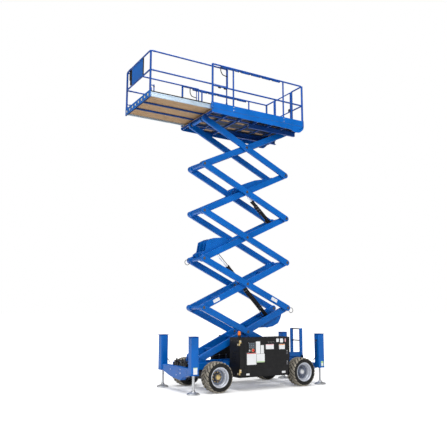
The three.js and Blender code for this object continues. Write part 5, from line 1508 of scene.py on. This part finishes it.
def control_box():
    shape = Shape("platform_controls")
    x = EXT_RAIL_X
    plate = x + 19.5
    top = EXT_RAIL_TOP + 17
    shape.box(plate, plate + 9, 451, 599, top - 150, top + 5.5, PLASTIC, 2)
    shape.box(x - 12, plate + 9, 451, 599, top + 0.6, top + 5.8, PLASTIC, 2)
    shape.box(plate + 5, x + 188, 432, 618, top - 239, top - 62, PLASTIC, 10, 3)
    shape.box(plate + 12, x + 182, 438, 612, top - 64, top - 54, BLACK, 5)
    shape.box(plate + 6, x + 61, 471, 579, top - 374, top - 232, PLASTIC, 8, 3)
    for i in range(3):
        shape.rod((x + 60 + 45 * i, 460, top - 56), (x + 60 + 45 * i, 460, top - 51), 7, ZINC, 16, 1)
    shape.rod((x + 150, 575, top - 58), (x + 150, 575, top - 50.5), 20, RED, 28, 2)
    shape.box(x + 50, x + 120, 520, 560, top - 56, top - 52, SCREEN, 2)
    shape.rod((plate + 30, 525, top - 374), (plate + 30, 525, top - 366), 15, HOSE, 18, 2)
    shape.finish("extension", ("platform_control_box",))


extension_frame()
extension_deck()
extension_rails()
rail_panel()
control_box()


# ---------------------------------------------------------------- floor, light and camera
def floor():
    mesh = bpy.data.meshes.new("floor")
    reach = 400
    mesh.from_pydata([(-reach, -reach, 0), (reach, -reach, 0), (reach, reach, 0), (-reach, reach, 0)], [],
                     [(0, 1, 2, 3)])
    obj = bpy.data.objects.new("floor", mesh)
    bpy.context.scene.collection.objects.link(obj)
    material = bpy.data.materials.new("studio_floor_with_painted_shadow")
    material.use_nodes = True
    nodes, links = material.node_tree.nodes, material.node_tree.links
    shader = nodes["Principled BSDF"]
    shader.inputs["Base Color"].default_value = (0.86, 0.86, 0.86, 1)
    shader.inputs["Roughness"].default_value = 0.85
    shader.inputs["Emission Color"].default_value = (1, 1, 1, 1)
    path = nodes.new("ShaderNodeLightPath")
    seen = nodes.new("ShaderNodeMath")
    seen.operation = "MAXIMUM"
    links.new(path.outputs["Is Camera Ray"], seen.inputs[0])
    links.new(path.outputs["Is Glossy Ray"], seen.inputs[1])
    place = nodes.new("ShaderNodeTexCoord")
    away = nodes.new("ShaderNodeVectorMath")
    away.operation = "LENGTH"
    links.new(place.outputs["Object"], away.inputs[0])
    lift = nodes.new("ShaderNodeMath")
    lift.operation = "MULTIPLY"
    links.new(seen.outputs[0], lift.inputs[0])
    # Seen emission is 0.22 within 2 m of the origin and rises to 1.0 at 12 m. The low part is a painted
    # shadow around and under the machine; the high part keeps the far floor white.
    links.new(spread(nodes, links, away.outputs["Value"], 2.0, 12, 0.22, 1.0), lift.inputs[1])
    links.new(lift.outputs[0], shader.inputs["Emission Strength"])
    mesh.materials.append(material)


def world():
    sky = bpy.data.worlds.new("studio")
    bpy.context.scene.world = sky
    sky.use_nodes = True
    nodes, links = sky.node_tree.nodes, sky.node_tree.links
    background = nodes["Background"]
    path = nodes.new("ShaderNodeLightPath")
    seen = nodes.new("ShaderNodeMath")
    seen.operation = "MAXIMUM"
    links.new(path.outputs["Is Camera Ray"], seen.inputs[0])
    links.new(path.outputs["Is Transmission Ray"], seen.inputs[1])
    strength = nodes.new("ShaderNodeMapRange")
    strength.inputs["To Min"].default_value = 0.27
    strength.inputs["To Max"].default_value = 1.0
    links.new(seen.outputs[0], strength.inputs["Value"])
    background.inputs["Color"].default_value = (1, 1, 1, 1)
    links.new(strength.outputs["Result"], background.inputs["Strength"])


def area_lamp(name, place, target, size, power):
    data = bpy.data.lights.new(name, "AREA")
    data.shape = "RECTANGLE"
    data.size, data.size_y = size
    data.energy = power
    lamp = bpy.data.objects.new(name, data)
    bpy.context.scene.collection.objects.link(lamp)
    lamp.location = place
    lamp.rotation_euler = (Vector(target) - Vector(place)).to_track_quat("-Z", "Y").to_euler()


floor()
world()
middle = (0.2, 0.0, 3.2)
area_lamp("key", (-1.5, -12.0, 11.0), middle, (8, 8), 1150)
area_lamp("overhead", (-1.0, 0.5, 14.0), (0, 0, 0), (9, 9), 2300)
area_lamp("fill", (-13.0, -3.5, 5.0), middle, (7, 7), 330)

camera_data = bpy.data.cameras.new("camera")
camera_data.lens = 45.30
camera_data.sensor_width = 36
camera_data.clip_end = 1500
camera = bpy.data.objects.new("camera", camera_data)
bpy.context.scene.collection.objects.link(camera)
camera.location = (SHIFT_X - 7.447, -11.497, 1.706)
camera.rotation_euler = (math.radians(98.966), 0, math.radians(-30.978))
bpy.context.scene.camera = camera

bpy.context.scene.view_settings.view_transform = "Standard"
